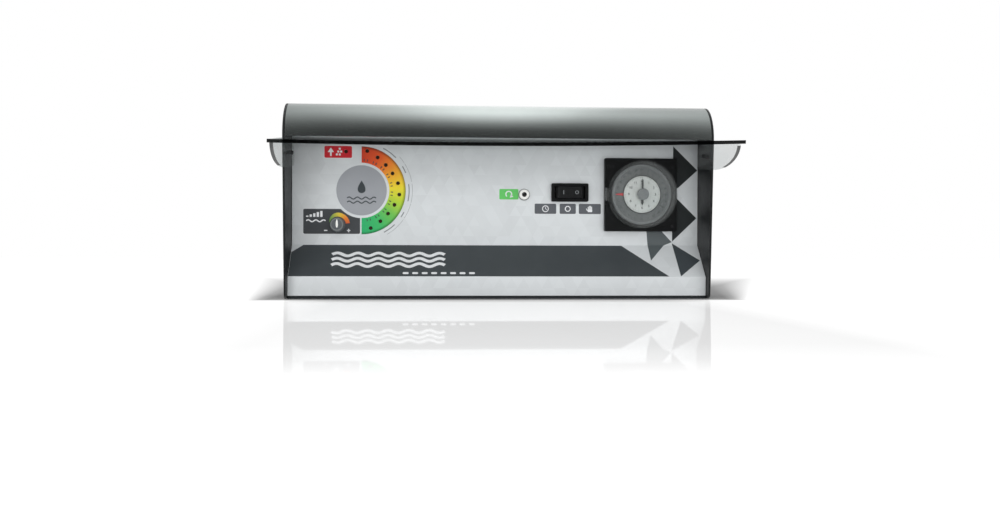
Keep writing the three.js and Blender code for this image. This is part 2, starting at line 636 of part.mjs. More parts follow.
// ---------------------------------------------------------------- electronics inside
function electronics() {
  const [boardX, boardZ] = BOARD_CENTRE;
  const outline = rectangle(...BOARD_SIZE, 2, boardX, boardZ);
  const board = outOfFace(outline, BOARD_OUT - BOARD_THICKNESS, BOARD_OUT);
  const standoffs = [[-1, -1], [1, -1], [-1, 1], [1, 1]].map(([a, b], i) =>
    mesh(
      `board_standoff_${i + 1}`,
      solidOf(turned(rod(STANDOFF_RADIUS, BOARD_OUT + GAP, -PANEL_THICKNESS - GAP), 6)),
      paint.brass,
      [boardX + a * STANDOFF_SPREAD[0], 0, boardZ + b * STANDOFF_SPREAD[1]],
    ),
  );
  const [plateWidth, plateDepth] = HEATSINK_BASE;
  const plateBack = HEATSINK_FRONT_Y + plateDepth;
  const finDepth = BACK_FRONT_Y - 0.4 - plateBack;
  const pitch = (plateWidth - FIN_THICKNESS) / (HEATSINK_FINS - 1);
  const plate = rectangle(plateWidth, plateDepth, 0, boardX, HEATSINK_FRONT_Y + plateDepth / 2);
  const fins = Array.from({ length: HEATSINK_FINS }, (_, i) =>
    rectangle(
      FIN_THICKNESS,
      finDepth + 0.2,
      0,
      boardX + pitch * (i - (HEATSINK_FINS - 1) / 2),
      plateBack + finDepth / 2 - 0.1,
    ),
  );
  const heatsink = joined(
    alongZ(plate, ...HEATSINK_HEIGHTS),
    ...fins.map((fin) => alongZ(fin, ...HEATSINK_HEIGHTS)),
  );
  const rectifierBack = -HEATSINK_FRONT_Y + GAP;
  const rectifierFront = rectifierBack + RECTIFIER_DEPTH;
  const rectifier = outOfFace(rectangle(...RECTIFIER_SIZE, 2), rectifierBack, rectifierFront);
  const legs = [-8, 8].flatMap((x) =>
    [-8, 8].map((z) => outOfFace(rectangle(6, 0.8, 0, x, z), rectifierFront - 1, rectifierFront + 5)),
  );
  return [
    mesh("control_board", solidOf(board), paint.board),
    ...standoffs,
    mesh("heatsink", heatsink, paint.aluminium),
    mesh("rectifier", joined(rectifier, ...legs), paint.black, [boardX, 0, 100]),
  ];
}

function transformer() {
  const [hollow, outer] = TOROID_RADII;
  const front = -TOROID_FRONT_Y;
  const back = front - TOROID_DEPTH;
  const winding = [
    [hollow, back + 2], [hollow + 2, back], [outer - 3, back], [outer, back + 3], [outer, front - 3],
    [outer - 3, front], [hollow + 2, front], [hollow, front - 2], [hollow, back + 2],
  ];
  const clampBack = front + GAP;
  const clampFront = clampBack + 2.5;
  const head = turned(rod(5.5, clampFront + GAP, clampFront + 4.7), 6);
  const shank = turned(rod(3, 0.4 - BACK_FRONT_Y, clampFront + 1), 12);
  return group(
    [TOROID_AT[0], 0, TOROID_AT[1]],
    mesh("transformer", solidOf(turned(winding, 32)), paint.copper),
    mesh("transformer_clamp", solidOf(turned(ring(3.4, 24, clampBack, clampFront), 24)), paint.steel),
    mesh("transformer_bolt", joined(head, shank), paint.steel),
  );
}

function terminalBlock() {
  const width = TERMINAL_WAYS * TERMINAL_PITCH + 1.5;
  const foot = BASE_THICKNESS + GAP;
  const walls = Array.from({ length: TERMINAL_WAYS + 1 }, (_, i) =>
    alongZ(rectangle(1.5, 24, 0, TERMINAL_PITCH * (i - TERMINAL_WAYS / 2), 6), foot, 24),
  );
  const floor = alongZ(rectangle(width, 24, 0, 0, 6), foot, 8);
  const core = alongZ(rectangle(width, 10, 0, 0, 6), 7, 18);
  return mesh("terminal_block", joined(floor, core, ...walls), paint.nylon, [50, 0, 0]);
}

// ---------------------------------------------------------------- cable bay fittings
function gland({ name, x, thread, bore }) {
  const seat = BAY_Z - GAP;
  const end = CEILING + 8;
  const dome = thread + 1.5;
  const collar = thread + 3.5;
  const body = turnedUpright([
    [bore, end], [bore, BAY_Z - 20], [bore + 2, BAY_Z - 20], [dome, BAY_Z - 16], [dome, BAY_Z - 7],
    [collar, BAY_Z - 7], [collar, seat], [thread, seat], [thread, end], [bore, end],
  ]);
  const hexagon = turnedUpright(rod(thread + 4.5, CEILING + GAP, CEILING + 4.5), 6);
  const nut = cut(solidOf(hexagon), turnedUpright(rod(thread + GAP, CEILING - 1, CEILING + 6)));
  return group(
    [x, BAY_MIDDLE, 0],
    mesh(name, solidOf(body), paint.black),
    mesh(`${name}_nut`, nut, paint.black),
  );
}

function pumpOutlet() {
  const seat = BAY_Z - GAP;
  const flange = alongZ(rectangle(...OUTLET_FLANGE, 3), seat - 3.5, seat);
  const body = alongZ(rectangle(...OUTLET_SIZE), seat - 1, CEILING + 22);
  const slots = [[-5.5, 3, 30], [5.5, 3, -30], [0, -6.5, 0]].map(([x, y, degrees]) =>
    alongZ(rectangle(1.9, 7), BAY_Z - 10, BAY_Z + 14)
      .rotateZ(THREE.MathUtils.degToRad(degrees))
      .translate(x, y, 0),
  );
  return mesh("pump_outlet", cut(joined(flange, body), ...slots), paint.black, [OUTLET_X, BAY_MIDDLE, 0]);
}

// ---------------------------------------------------------------- assembly
const SIDES = [["left", -1], ["right", 1]];
const unit = new THREE.Group();
unit.name = "salt_chlorine_generator";
unit.add(hood());
unit.add(mesh("front_panel", frontPanel(), paint.silver));
unit.add(mesh("base_panel", basePanel(), paint.darkSheet));
unit.add(mesh("back_panel", backPanel(), paint.darkSheet));
unit.add(lid());
for (const [name, side] of SIDES) {
  unit.add(mesh(`end_cap_${name}`, endCap(side), paint.black));
  unit.add(mesh(`lid_pin_${name}`, lidPin(side), paint.black, [0, PIVOT_Y, PIVOT_Z]));
  CASE_SCREW_HEIGHTS.forEach((z, i) => {
    unit.add(mesh(`case_screw_${name}_${i + 1}`, caseScrew(side), paint.steel, [0, SCREW_Y, z]));
  });
}
gaugePlaces().forEach(([x, z], i) => {
  unit.add(mesh(`gauge_led_${i + 1}`, lamp(), paint.lamp, [x, 0, z]));
});
unit.add(mesh("high_salt_led", lamp(), paint.lamp, [SALT_LED_AT[0], 0, SALT_LED_AT[1]]));
unit.add(outputKnob(), resetBreaker(), modeSwitch(), timeSwitch());
unit.add(...electronics(), transformer(), terminalBlock());
unit.add(...GLANDS.map(gland), pumpOutlet());

export default unit;
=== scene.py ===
import json
import math

import bmesh
import bpy
from mathutils import Matrix, Vector


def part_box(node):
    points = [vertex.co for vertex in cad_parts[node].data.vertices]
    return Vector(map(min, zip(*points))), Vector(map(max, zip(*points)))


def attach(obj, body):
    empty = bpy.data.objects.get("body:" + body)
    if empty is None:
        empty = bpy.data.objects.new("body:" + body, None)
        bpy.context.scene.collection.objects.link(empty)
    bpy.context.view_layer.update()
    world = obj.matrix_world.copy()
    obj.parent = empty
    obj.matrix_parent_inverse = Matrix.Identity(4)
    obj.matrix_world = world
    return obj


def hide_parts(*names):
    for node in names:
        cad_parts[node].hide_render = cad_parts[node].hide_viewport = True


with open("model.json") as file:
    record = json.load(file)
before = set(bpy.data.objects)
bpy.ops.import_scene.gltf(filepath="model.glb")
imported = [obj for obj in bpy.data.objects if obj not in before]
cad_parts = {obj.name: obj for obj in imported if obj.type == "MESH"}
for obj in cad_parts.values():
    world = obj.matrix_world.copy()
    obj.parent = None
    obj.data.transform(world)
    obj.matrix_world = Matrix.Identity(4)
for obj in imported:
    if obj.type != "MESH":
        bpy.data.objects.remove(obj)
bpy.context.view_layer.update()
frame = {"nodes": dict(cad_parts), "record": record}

MM = 0.001

# Planes that pieces are drawn in. Each matrix turns a drawing's x, y and z, in mm, to the object's own axes.
FACE = Matrix(((1, 0, 0), (0, 0, -1), (0, 1, 0)))  # x to the right, y up, z out of the panel
SIDE = Matrix(((0, 0, 1), (1, 0, 0), (0, 1, 0)))  # x back, y up, z to the right
PLAN = Matrix.Identity(3)


# ------------------------------------------------------------------ places, in mm
def box_mm(node):
    low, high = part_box(node)
    return Vector(low) / MM, Vector(high) / MM


def centre_of(node):
    low, high = box_mm(node)
    return (low + high) / 2


def spot(node):
    middle = centre_of(node)
    return (middle.x, 0, middle.z)


JOINTS = {joint["name"]: joint for joint in frame["record"]["behaviour"]["joints"]}


def joint_at(name):
    return Vector(JOINTS[name]["pos_m"]) / MM


hood_low, hood_high = box_mm("hood")
panel_low, panel_high = box_mm("front_panel")
cap_low, cap_high = box_mm("end_cap_right")
SPAN = panel_high.x
INNER = cap_low.x
OUTER = cap_high.x
TOP_Z = hood_high.z
REAR_Y = hood_high.y
HOOD_RADIUS = 34
HOOD_CENTRE = (hood_low.y + HOOD_RADIUS, TOP_Z - HOOD_RADIUS)
HOOD_EDGE_Z = HOOD_CENTRE[1] - 0.3
HOOD_THICKNESS = 2.4
HOOD_REAR_RADIUS = 10
PIN_BORE = 2.1
FOLD_Z = 51.4
LIP_Y = panel_low.y
LIP_TOP_Z = 20.9
LIP_LOW_Z = panel_low.z
SHEET = 1.5
GAUGE = (-132.75, 104.2)
KNOB = spot("control_knob")
RESET = spot("reset_collar")
SWITCH = spot("switch_bezel")
TIMER = tuple(joint_at("dial_turn"))
PIVOT = joint_at("lid_hinge")
COVER_HINGE = joint_at("timer_cover_hinge")

LEDS = [f"gauge_led_{i}" for i in range(1, 11)] + ["high_salt_led"]

SLOPE_LENGTH = math.hypot(LIP_Y, FOLD_Z - LIP_TOP_Z)
RISE = (FOLD_Z - LIP_TOP_Z) / SLOPE_LENGTH
RUN = -LIP_Y / SLOPE_LENGTH
SLOPE = Matrix(((1, 0, 0), (0, RUN, -RISE), (0, RISE, RUN)))  # x to the right, y up the slope, z out of it
SLOPE_FOOT = (0, LIP_Y, LIP_TOP_Z)


# ------------------------------------------------------------------ outlines
def arc(centre, radius, start, end, steps):
    turn = [math.radians(start + (end - start) * i / steps) for i in range(steps + 1)]
    return [(centre[0] + radius * math.cos(a), centre[1] + radius * math.sin(a)) for a in turn]


def ring_of(radius, steps=64, centre=(0, 0)):
    return arc(centre, radius, 0, 360 - 360 / steps, steps - 1)


def corner_curve(a, corner, b, steps):
    """Points from a to b on a curve that is pulled towards the corner."""
    turn = [k / steps for k in range(steps + 1)]
    return [tuple(a * (1 - t) ** 2 + corner * 2 * t * (1 - t) + b * t ** 2) for t in turn]


def rounded(points, radius, steps=4):
    """The same closed outline with its corners rounded."""
    out = []
    for i, p in enumerate(points):
        p = Vector(p)
        before = Vector(points[i - 1]) - p
        after = Vector(points[(i + 1) % len(points)]) - p
        corner = before.angle(after)
        reach = radius / math.tan(corner / 2)
        reach = min(reach, before.length / 2.01, after.length / 2.01)
        a = p + before.normalized() * reach
        b = p + after.normalized() * reach
        out += corner_curve(a, p, b, steps)
    return out


def oblong(left, low, right, high, radius=0.0, steps=5):
    corners = [(left, low), (right, low), (right, high), (left, high)]
    return rounded(corners, radius, steps) if radius else corners


def stroke(points, width):
    """The outline of a line of that width through the points."""
    sides = []
    for i, p in enumerate(points):
        before = Vector(points[max(i - 1, 0)])
        after = Vector(points[min(i + 1, len(points) - 1)])
        along = (after - before).normalized()
        sides.append((Vector(p), Vector((-along.y, along.x)) * width / 2))
    return [tuple(p + s) for p, s in sides] + [tuple(p - s) for p, s in reversed(sides)]


def bent(line, thickness):
    """The section of a sheet along a line, on the line's left if the thickness is positive."""
    normals = []
    for i in range(len(line) - 1):
        along = (Vector(line[i + 1]) - Vector(line[i])).normalized()
        normals.append(Vector((-along.y, along.x)))
    inner = []
    for i, p in enumerate(line):
        a = normals[max(i - 1, 0)]
        b = normals[min(i, len(normals) - 1)]
        inner.append(tuple(Vector(p) + (a + b) * thickness / (1 + a.dot(b))))
    return list(line) + inner[::-1]


def folded(line, radius, steps=5):
    """An open line with its inner corners rounded."""
    out = [line[0]]
    for i in range(1, len(line) - 1):
        p = Vector(line[i])
        a = p + (Vector(line[i - 1]) - p).normalized() * radius
        b = p + (Vector(line[i + 1]) - p).normalized() * radius
        out += corner_curve(a, p, b, steps)
    return out + [line[-1]]


# ------------------------------------------------------------------ meshes, in mm
def finished(bm):
    bmesh.ops.recalc_face_normals(bm, faces=bm.faces)
    mesh = bpy.data.meshes.new("shape")
    bm.to_mesh(mesh)
    bm.free()
    return mesh


def evaluated(obj):
    bpy.context.view_layer.update()
    found = obj.evaluated_get(bpy.context.evaluated_depsgraph_get())
    mesh = bpy.data.meshes.new_from_object(found)
    data = obj.data
    bpy.data.objects.remove(obj)
    if isinstance(data, bpy.types.Curve):
        bpy.data.curves.remove(data)
    return mesh


def shown(data):
    obj = bpy.data.objects.new("work", data)
    bpy.context.scene.collection.objects.link(obj)
    return obj


def slab(outlines, low, high, bevel=0.0):
    """Outlines, the later ones as holes in the first, made solid between two heights."""
    curve = bpy.data.curves.new("work", "CURVE")
    curve.dimensions = "2D"
    curve.fill_mode = "BOTH"
    curve.extrude = (high - low) / 2 - bevel
    curve.bevel_depth = bevel
    curve.bevel_resolution = 1
    curve.offset = -bevel
    for outline in outlines:
        spline = curve.splines.new("POLY")
        spline.points.add(len(outline) - 1)
        for point, (x, y) in zip(spline.points, outline):
            point.co = (x, y, 0, 1)
        spline.use_cyclic_u = True
    bm = bmesh.new()
    bm.from_mesh(evaluated(shown(curve)))
    bmesh.ops.remove_doubles(bm, verts=bm.verts, dist=1e-4)
    bmesh.ops.translate(bm, verts=bm.verts, vec=(0, 0, (low + high) / 2))
    return finished(bm)


def lathe(profile, segments=48):
    """A profile of (radius, height) turned about z. It is closed on the axis, or by its own last point."""
    bm = bmesh.new()
    rings = []
    for r, z in profile:
        if r < 1e-6:
            rings.append([bm.verts.new((0, 0, z))])
            continue
        turn = [2 * math.pi * i / segments for i in range(segments)]
        rings.append([bm.verts.new((r * math.cos(a), r * math.sin(a), z)) for a in turn])
    closed = len(rings[0]) > 1
    pairs = list(zip(rings, rings[1:] + rings[:1] if closed else rings[1:]))
    for a, b in pairs:
        for i in range(segments):
            j = (i + 1) % segments
            if len(a) == 1 and len(b) == 1:
                continue
            if len(a) == 1:
                bm.faces.new((a[0], b[i], b[j]))
            elif len(b) == 1:
                bm.faces.new((a[i], b[0], a[j]))
            else:
                bm.faces.new((a[i], b[i], b[j], a[j]))
    return finished(bm)


def moved(mesh, x=0.0, y=0.0, z=0.0, turn=0.0):
    mesh.transform(Matrix.Translation((x, y, z)) @ Matrix.Rotation(math.radians(turn), 4, "Z"))
    return mesh


def merged(meshes):
    bm = bmesh.new()
    for mesh in meshes:
        bm.from_mesh(mesh)
        bpy.data.meshes.remove(mesh)
    mesh = bpy.data.meshes.new("shape")
    bm.to_mesh(mesh)
    bm.free()
    return mesh


def boolean(mesh, other, how):
    a = shown(mesh)
    b = shown(other)
    modifier = a.modifiers.new("work", "BOOLEAN")
    modifier.operation = how
    modifier.object = b
    modifier.solver = "EXACT"
    made = evaluated(a)
    bpy.data.objects.remove(b)
    return made


def carved(mesh, *cutters):
    return boolean(mesh, merged(cutters), "DIFFERENCE")


def eased(mesh, width, angle):
    """Bevels the edges where faces meet at more than the angle."""
    obj = shown(mesh)
    modifier = obj.modifiers.new("work", "BEVEL")
    modifier.width = width
    modifier.segments = 2
    modifier.limit_method = "ANGLE"
    modifier.angle_limit = math.radians(angle)
    return evaluated(obj)


STROKE_WEIGHT = 0.06


def numerals(marks, depth, low):
    """Numbers lying flat: each mark is (number, x, y, size, turn in degrees)."""
    made = []
    for number, x, y, size, turn in marks:
        curve = bpy.data.curves.new("work", "FONT")
        curve.body = str(number)
        curve.size = size
        curve.align_x = "CENTER"
        curve.align_y = "CENTER"
        curve.extrude = depth / 2
        curve.offset = STROKE_WEIGHT
        mesh = evaluated(shown(curve))
        mesh.transform(Matrix.Translation((0, 0, low + depth / 2)))
        made.append(moved(mesh, x, y, 0, turn))
    return merged(made)


# ------------------------------------------------------------------ materials
def linear(red, green, blue):
    """A screen colour, each part 0 to 255, as linear light."""
    return tuple((c / 255 / 12.92) if c <= 10 else ((c / 255 + 0.055) / 1.055) ** 2.4 for c in (red, green, blue))


class Nodes:
    """A short way to write a node tree."""

    def __init__(self, tree):
        self.tree = tree
        tree.nodes.clear()

    def add(self, kind, **settings):
        node = self.tree.nodes.new("ShaderNode" + kind)
        for key, value in settings.items():
            setattr(node, key, value)
        return node

    def join(self, out, into):
        self.tree.links.new(out, into)

    def math(self, operation, a, b=None):
        node = self.add("Math", operation=operation)
        for socket, value in zip(node.inputs, (a, b)):
            if value is None:
                continue
            if isinstance(value, (int, float)):
                socket.default_value = value
            else:
                self.join(value, socket)
        return node.outputs[0]

    def noise(self, scale, detail=2.0):
        node = self.add("TexNoise")
        node.inputs["Scale"].default_value = scale
        node.inputs["Detail"].default_value = detail
        self.join(self.place(), node.inputs["Vector"])
        return node.outputs["Fac"]

    def place(self):
        return self.add("TexCoord").outputs["Object"]

    def ramp(self, factor, stops):
        node = self.add("ValToRGB")
        ramp = node.color_ramp
        while len(ramp.elements) < len(stops):
            ramp.elements.new(1.0)
        for element, (position, colour) in zip(ramp.elements, stops):
            element.position = position
            element.color = (*colour, 1)
        self.join(factor, node.inputs["Fac"])
        return node.outputs["Color"]

    def greys(self, factor, stops):
        """A ramp whose stops are (position, level)."""
        return self.ramp(factor, [(position, (level,) * 3) for position, level in stops])

    def spread(self, factor, low, high):
        node = self.add("MapRange")
        node.inputs["To Min"].default_value = low
        node.inputs["To Max"].default_value = high
        self.join(factor, node.inputs["Value"])
        return node.outputs["Result"]

    def tinted(self, colour, factor):
        node = self.add("Mix", data_type="RGBA", blend_type="MULTIPLY")
        node.inputs["Factor"].default_value = 1
        self.join(colour, node.inputs[6])
        self.join(factor, node.inputs[7])
        return node.outputs[2]


def surface(name, colour, roughness, metallic=0.0, mottle=0.06, grain=900, bump=0.02, paint=None):
    """A procedural finish: an even colour with slight mottling, uneven gloss and a fine grain."""
    material = bpy.data.materials.new(name)
    material.use_nodes = True
    n = Nodes(material.node_tree)
    shader = n.add("BsdfPrincipled")
    out = n.add("OutputMaterial")
    n.join(shader.outputs[0], out.inputs["Surface"])
    base = linear(*colour)
    dark = tuple(c * (1 - mottle) for c in base)
    light = tuple(min(1, c * (1 + mottle)) for c in base)
    cloud = n.noise(45, 3)
    tone = n.ramp(cloud, [(0.3, dark), (0.7, light)])
    if paint:
        tone = n.tinted(paint(n), n.greys(cloud, [(0.3, 1 - mottle), (0.7, 1)]))
    n.join(tone, shader.inputs["Base Color"])
    n.join(n.spread(n.noise(160, 3), roughness * 0.85, min(1, roughness * 1.15)), shader.inputs["Roughness"])
    shader.inputs["Metallic"].default_value = metallic
    if bump:
        relief = n.add("Bump")
        relief.inputs["Strength"].default_value = bump * 10
        relief.inputs["Distance"].default_value = 0.00005
        n.join(n.noise(grain, 4), relief.inputs["Height"])
        n.join(relief.outputs[0], shader.inputs["Normal"])
    return material


def clear(name, colour, density, haze=0.0, tint=1.0):
    """Clear plastic that mirrors a little. Density darkens it along the light's way, and tint at its surface."""
    material = bpy.data.materials.new(name)
    material.use_nodes = True
    n = Nodes(material.node_tree)
    through = n.add("BsdfTransparent")
    shades = [(0.3, (0.97 * tint, 0.98 * tint, 0.98 * tint)), (0.7, (tint,) * 3)]
    n.join(n.ramp(n.noise(30), shades), through.inputs["Color"])
    mirror = n.add("BsdfGlossy")
    n.join(n.spread(n.noise(120, 3), 0.04, 0.1), mirror.inputs["Roughness"])
    facing = n.add("LayerWeight").outputs["Facing"]
    mix = n.add("MixShader")
    n.join(n.spread(n.math("POWER", facing, 5), 0.03, 0.15), mix.inputs[0])
    n.join(through.outputs[0], mix.inputs[1])
    n.join(mirror.outputs[0], mix.inputs[2])
    surface_socket = mix.outputs[0]
    if haze:
        milk = n.add("BsdfDiffuse")
        n.join(n.ramp(n.noise(60), [(0.3, (0.5, 0.52, 0.52)), (0.7, (0.56, 0.58, 0.58))]), milk.inputs["Color"])
        veil = n.add("MixShader")
        n.join(n.spread(n.noise(25), haze * 0.8, haze * 1.2), veil.inputs[0])
        n.join(surface_socket, veil.inputs[1])
        n.join(milk.outputs[0], veil.inputs[2])
        surface_socket = veil.outputs[0]
    out = n.add("OutputMaterial")
    n.join(surface_socket, out.inputs["Surface"])
    if density:
        smoke = n.add("VolumeAbsorption")
        smoke.inputs["Color"].default_value = (*linear(*colour), 1)
        smoke.inputs["Density"].default_value = density
        n.join(smoke.outputs[0], out.inputs["Volume"])
    return material


def around(n, centre):
    """Angle from +X, 0 to 1 from -180 to 180 degrees, and distance in mm, on the panel about a centre."""
    parts = n.add("SeparateXYZ")
    n.join(n.place(), parts.inputs[0])
    x = n.math("SUBTRACT", parts.outputs["X"], centre[0] * MM)
    z = n.math("SUBTRACT", parts.outputs["Z"], centre[1] * MM)
    angle = n.math("ADD", n.math("DIVIDE", n.math("ARCTAN2", z, x), 2 * math.pi), 0.5)
    reach = n.math("SQRT", n.math("ADD", n.math("MULTIPLY", x, x), n.math("MULTIPLY", z, z)))
    return angle, n.math("MULTIPLY", reach, 1000)


def facets(n):
    """Triangles of slightly different tone. Their size is their height in mm."""
    size, low, high = 10.0, 0.955, 1.02
    cells = n.add("CombineXYZ")
    for i, degrees in enumerate((0, 60, 120)):
        dot = n.add("VectorMath", operation="DOT_PRODUCT")
        n.join(n.place(), dot.inputs[0])
        a = math.radians(degrees + 90)
        dot.inputs[1].default_value = (math.cos(a) / size / MM, 0, math.sin(a) / size / MM)
        n.join(n.math("FLOOR", dot.outputs["Value"]), cells.inputs[i])
    chance = n.add("TexWhiteNoise", noise_dimensions="3D")
    n.join(cells.outputs[0], chance.inputs["Vector"])
    return n.greys(chance.outputs["Value"], [(0, low), (1, high)])


def silver_film(n):
    base = linear(212, 216, 218)
    tone = n.ramp(n.noise(30), [(0.3, base), (0.7, tuple(c * 1.03 for c in base))])
    return n.tinted(tone, facets(n))


def gauge_colours(n):
    angle, reach = around(n, GAUGE)
    scale = [(-90, (38, 170, 105)), (-62, (56, 178, 98)), (-38, (104, 186, 78)), (-18, (168, 200, 52)),
             (4, (226, 208, 42)), (22, (236, 178, 38)), (42, (234, 130, 34)), (62, (222, 84, 28)),
             (90, (200, 56, 26))]
    tone = n.ramp(angle, [((a + 180) / 360, linear(*c)) for a, c in scale])
    edge = n.ramp(n.math("DIVIDE", reach, 50), [(0.55, (1, 1, 1)), (0.80, (1, 1, 1)), (0.86, (0.25, 0.3, 0.3))])
    return n.tinted(tone, edge)


def dial_colours(n):
    angle, _ = around(n, (KNOB[0], KNOB[2]))
    scale = [(-60, (205, 70, 45)), (0, (214, 84, 44)), (40, (226, 130, 50)), (80, (214, 190, 60)),
             (130, (120, 160, 80)), (180, (90, 125, 85))]
    return n.ramp(angle, [((a + 180) / 360, linear(*c)) for a, c in scale])


LOOKS = {
    "hood_paint": surface("hood_paint", (176, 183, 181), 0.2, metallic=0.96, mottle=0.02, bump=0),
    "cap_plastic": surface("cap_plastic", (30, 32, 33), 0.5, grain=1500, bump=0.05),
    "case_sheet": surface("case_sheet", (50, 53, 55), 0.5, metallic=0.3, grain=1200, bump=0.04),
    "panel_silver": surface("panel_silver", (212, 216, 218), 0.42, metallic=0.1, mottle=0.02, paint=silver_film),
    "lid_clear": clear("lid_clear", (120, 132, 132), 26, haze=0.05),
    "steel": surface("steel", (165, 167, 170), 0.28, metallic=1, grain=1800),
    "knob_grey": surface("knob_grey", (88, 92, 95), 0.38, bump=0.03),
    "component_black": surface("component_black", (32, 33, 35), 0.5, bump=0.03),
    "collar_white": surface("collar_white", (236, 236, 232), 0.3, mottle=0.02),
    "button_black": surface("button_black", (30, 31, 32), 0.4, bump=0.03),
    "timer_black": surface("timer_black", (22, 23, 24), 0.42, bump=0.03),
    "timer_clear": clear("timer_clear", (150, 158, 158), 26, haze=0.06),
    "dial_grey": surface("dial_grey", (94, 98, 98), 0.45, bump=0.03),
    "clock_white": surface("clock_white", (203, 207, 204), 0.45, mottle=0.02),
    "hand_black": surface("hand_black", (42, 46, 47), 0.45, mottle=0.1),
    "hub_grey": surface("hub_grey", (116, 120, 121), 0.35, bump=0.03),
    "pointer_red": surface("pointer_red", (190, 30, 40), 0.4),
    "led_lens": surface("led_lens", (52, 40, 28), 0.2, mottle=0.15),
    "circuit_board": surface("circuit_board", (30, 104, 62), 0.4, mottle=0.2),
    "brass": surface("brass", (190, 155, 80), 0.3, metallic=1),
    "transformer_winding": surface("transformer_winding", (170, 96, 48), 0.4, metallic=0.4, mottle=0.25, grain=300),
    "heatsink_aluminium": surface("heatsink_aluminium", (176, 179, 182), 0.35, metallic=1, grain=1500),
    "terminal_nylon": surface("terminal_nylon", (214, 212, 202), 0.5, bump=0.03),
    "gland_black": surface("gland_black", (36, 37, 39), 0.45, grain=1300, bump=0.05),
}
# Painted shade: nearly black clear plastic for the lid's front edge and cheek rims, standing in for the darkness of
# looking edge-on through the tinted plastic.
LID_EDGE_PAINTED_DARK = clear("lid_edge_painted_dark", (120, 132, 132), 0, tint=0.02)
CHEEK_RIM_PAINTED_DARK = clear("cheek_rim_painted_dark", (120, 132, 132), 0, tint=0.14)
INK = {
    "gauge": surface("ink_gauge", (230, 200, 60), 0.45, mottle=0.04, paint=gauge_colours),
    "dial": surface("ink_dial", (214, 84, 44), 0.45, mottle=0.04, paint=dial_colours),
    "disc": surface("ink_disc", (150, 153, 158), 0.4, mottle=0.03),
    "slate": surface("ink_slate", (66, 69, 72), 0.42, mottle=0.05),
    "band": surface("ink_band", (62, 67, 70), 0.42, mottle=0.05),
    "label": surface("ink_label", (88, 91, 96), 0.42, mottle=0.05),
    "red": surface("ink_red", (196, 26, 40), 0.42, mottle=0.05),
    "green": surface("ink_green", (96, 192, 98), 0.42, mottle=0.05),
    "white": surface("ink_white", (222, 224, 226), 0.45, mottle=0.03),
    "dark": surface("ink_dark", (60, 66, 70), 0.45, mottle=0.06),
    "black": surface("ink_black", (40, 44, 45), 0.45, mottle=0.06),
    "mist": surface("ink_mist", (128, 132, 134), 0.45, mottle=0.05),
    "shade": surface("ink_shade", (84, 91, 93), 0.42, mottle=0.05),
}


# ------------------------------------------------------------------ pieces
def piece(name, mesh, slot, body="case", basis=FACE, at=(0, 0, 0), stands_for=(), angle=32, look=None):
    mesh.transform(Matrix.Translation(Vector(at) * MM) @ basis.to_4x4() @ Matrix.Scale(MM, 4))
    mesh.polygons.foreach_set("use_smooth", [True] * len(mesh.polygons))
    mesh.set_sharp_from_angle(angle=math.radians(angle))
    mesh.materials.clear()
    mesh.materials.append(look or LOOKS[slot])
    obj = bpy.data.objects.new(name, mesh)
    bpy.context.scene.collection.objects.link(obj)
    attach(obj, body)
    if stands_for:
        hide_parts(*stands_for)
    return obj


def cylinder(radius, low, high, segments=32):
    return lathe([(0, low), (radius, low), (radius, high), (0, high)], segments)


# Case: everything is drawn from its side and run along X.
def make_hood():
    line = [(hood_low.y, HOOD_EDGE_Z)]
    line += arc(HOOD_CENTRE, HOOD_RADIUS, 180, 90, 48)
    line += arc((REAR_Y - HOOD_REAR_RADIUS, TOP_Z - HOOD_REAR_RADIUS), HOOD_REAR_RADIUS, 90, 0, 14)
    line += [(REAR_Y, hood_low.z)]
    section = bent(line, -HOOD_THICKNESS)
    piece("hood_shell", slab([section], -SPAN, SPAN, 0.4), "hood_paint", basis=SIDE, stands_for=["hood"], angle=25)


def make_cap(name, side):
    foot_y, foot_radius = -40, 6
    outline = [(REAR_Y, 0)]
    outline += arc((REAR_Y - HOOD_REAR_RADIUS, TOP_Z - HOOD_REAR_RADIUS), HOOD_REAR_RADIUS, 0, 90, 14)
    outline += arc(HOOD_CENTRE, HOOD_RADIUS, 90, 180, 48)
    outline += arc((foot_y + foot_radius, foot_radius), foot_radius, 180, 270, 10)
    low, high = sorted((side * INNER, side * OUTER))
    plate = slab([outline], low, high, 0.5)

    def bore(radius, inner_end, place):
        ends = sorted((side * inner_end, side * (OUTER + 1)))
        return moved(cylinder(radius, *ends), place.y, place.z)

    screws = [centre_of(f"case_screw_{name}_{n}") for n in (1, 2)]
    plate = carved(plate, *[bore(3.8, OUTER - 1.4, screw) for screw in screws])
    plate = carved(plate, *[bore(1.9, OUTER - 4, screw) for screw in screws], bore(PIN_BORE, INNER - 1, PIVOT))
    piece(f"cap_{name}", plate, "cap_plastic", basis=SIDE, stands_for=[f"end_cap_{name}"], angle=15)


def make_screws(name, side):
    for n in (1, 2):
        node = f"case_screw_{name}_{n}"
        screw = centre_of(node)
        low, high = box_mm(node)
        crown = high.x if side > 0 else low.x
        profile = [(0, 0), (3.1, 0), (3.5, 0.35), (3.5, 1.1), (1.6, 1.1), (1.6, 9.6), (0.5, 10.9), (0, 10.9)]
        head = lathe(profile, 32)
        for turn in (0, 90):
            cross = slab([oblong(-2.1, -0.4, 2.1, 0.4)], -1, 0.6)
            head = boolean(head, moved(cross, turn=turn), "DIFFERENCE")
        if side > 0:
            head.transform(Matrix.Rotation(math.pi, 4, "X"))
        piece(f"sheet_screw_{name}_{n}", head, "steel", basis=SIDE, at=(crown, screw.y, screw.z), stands_for=[node])


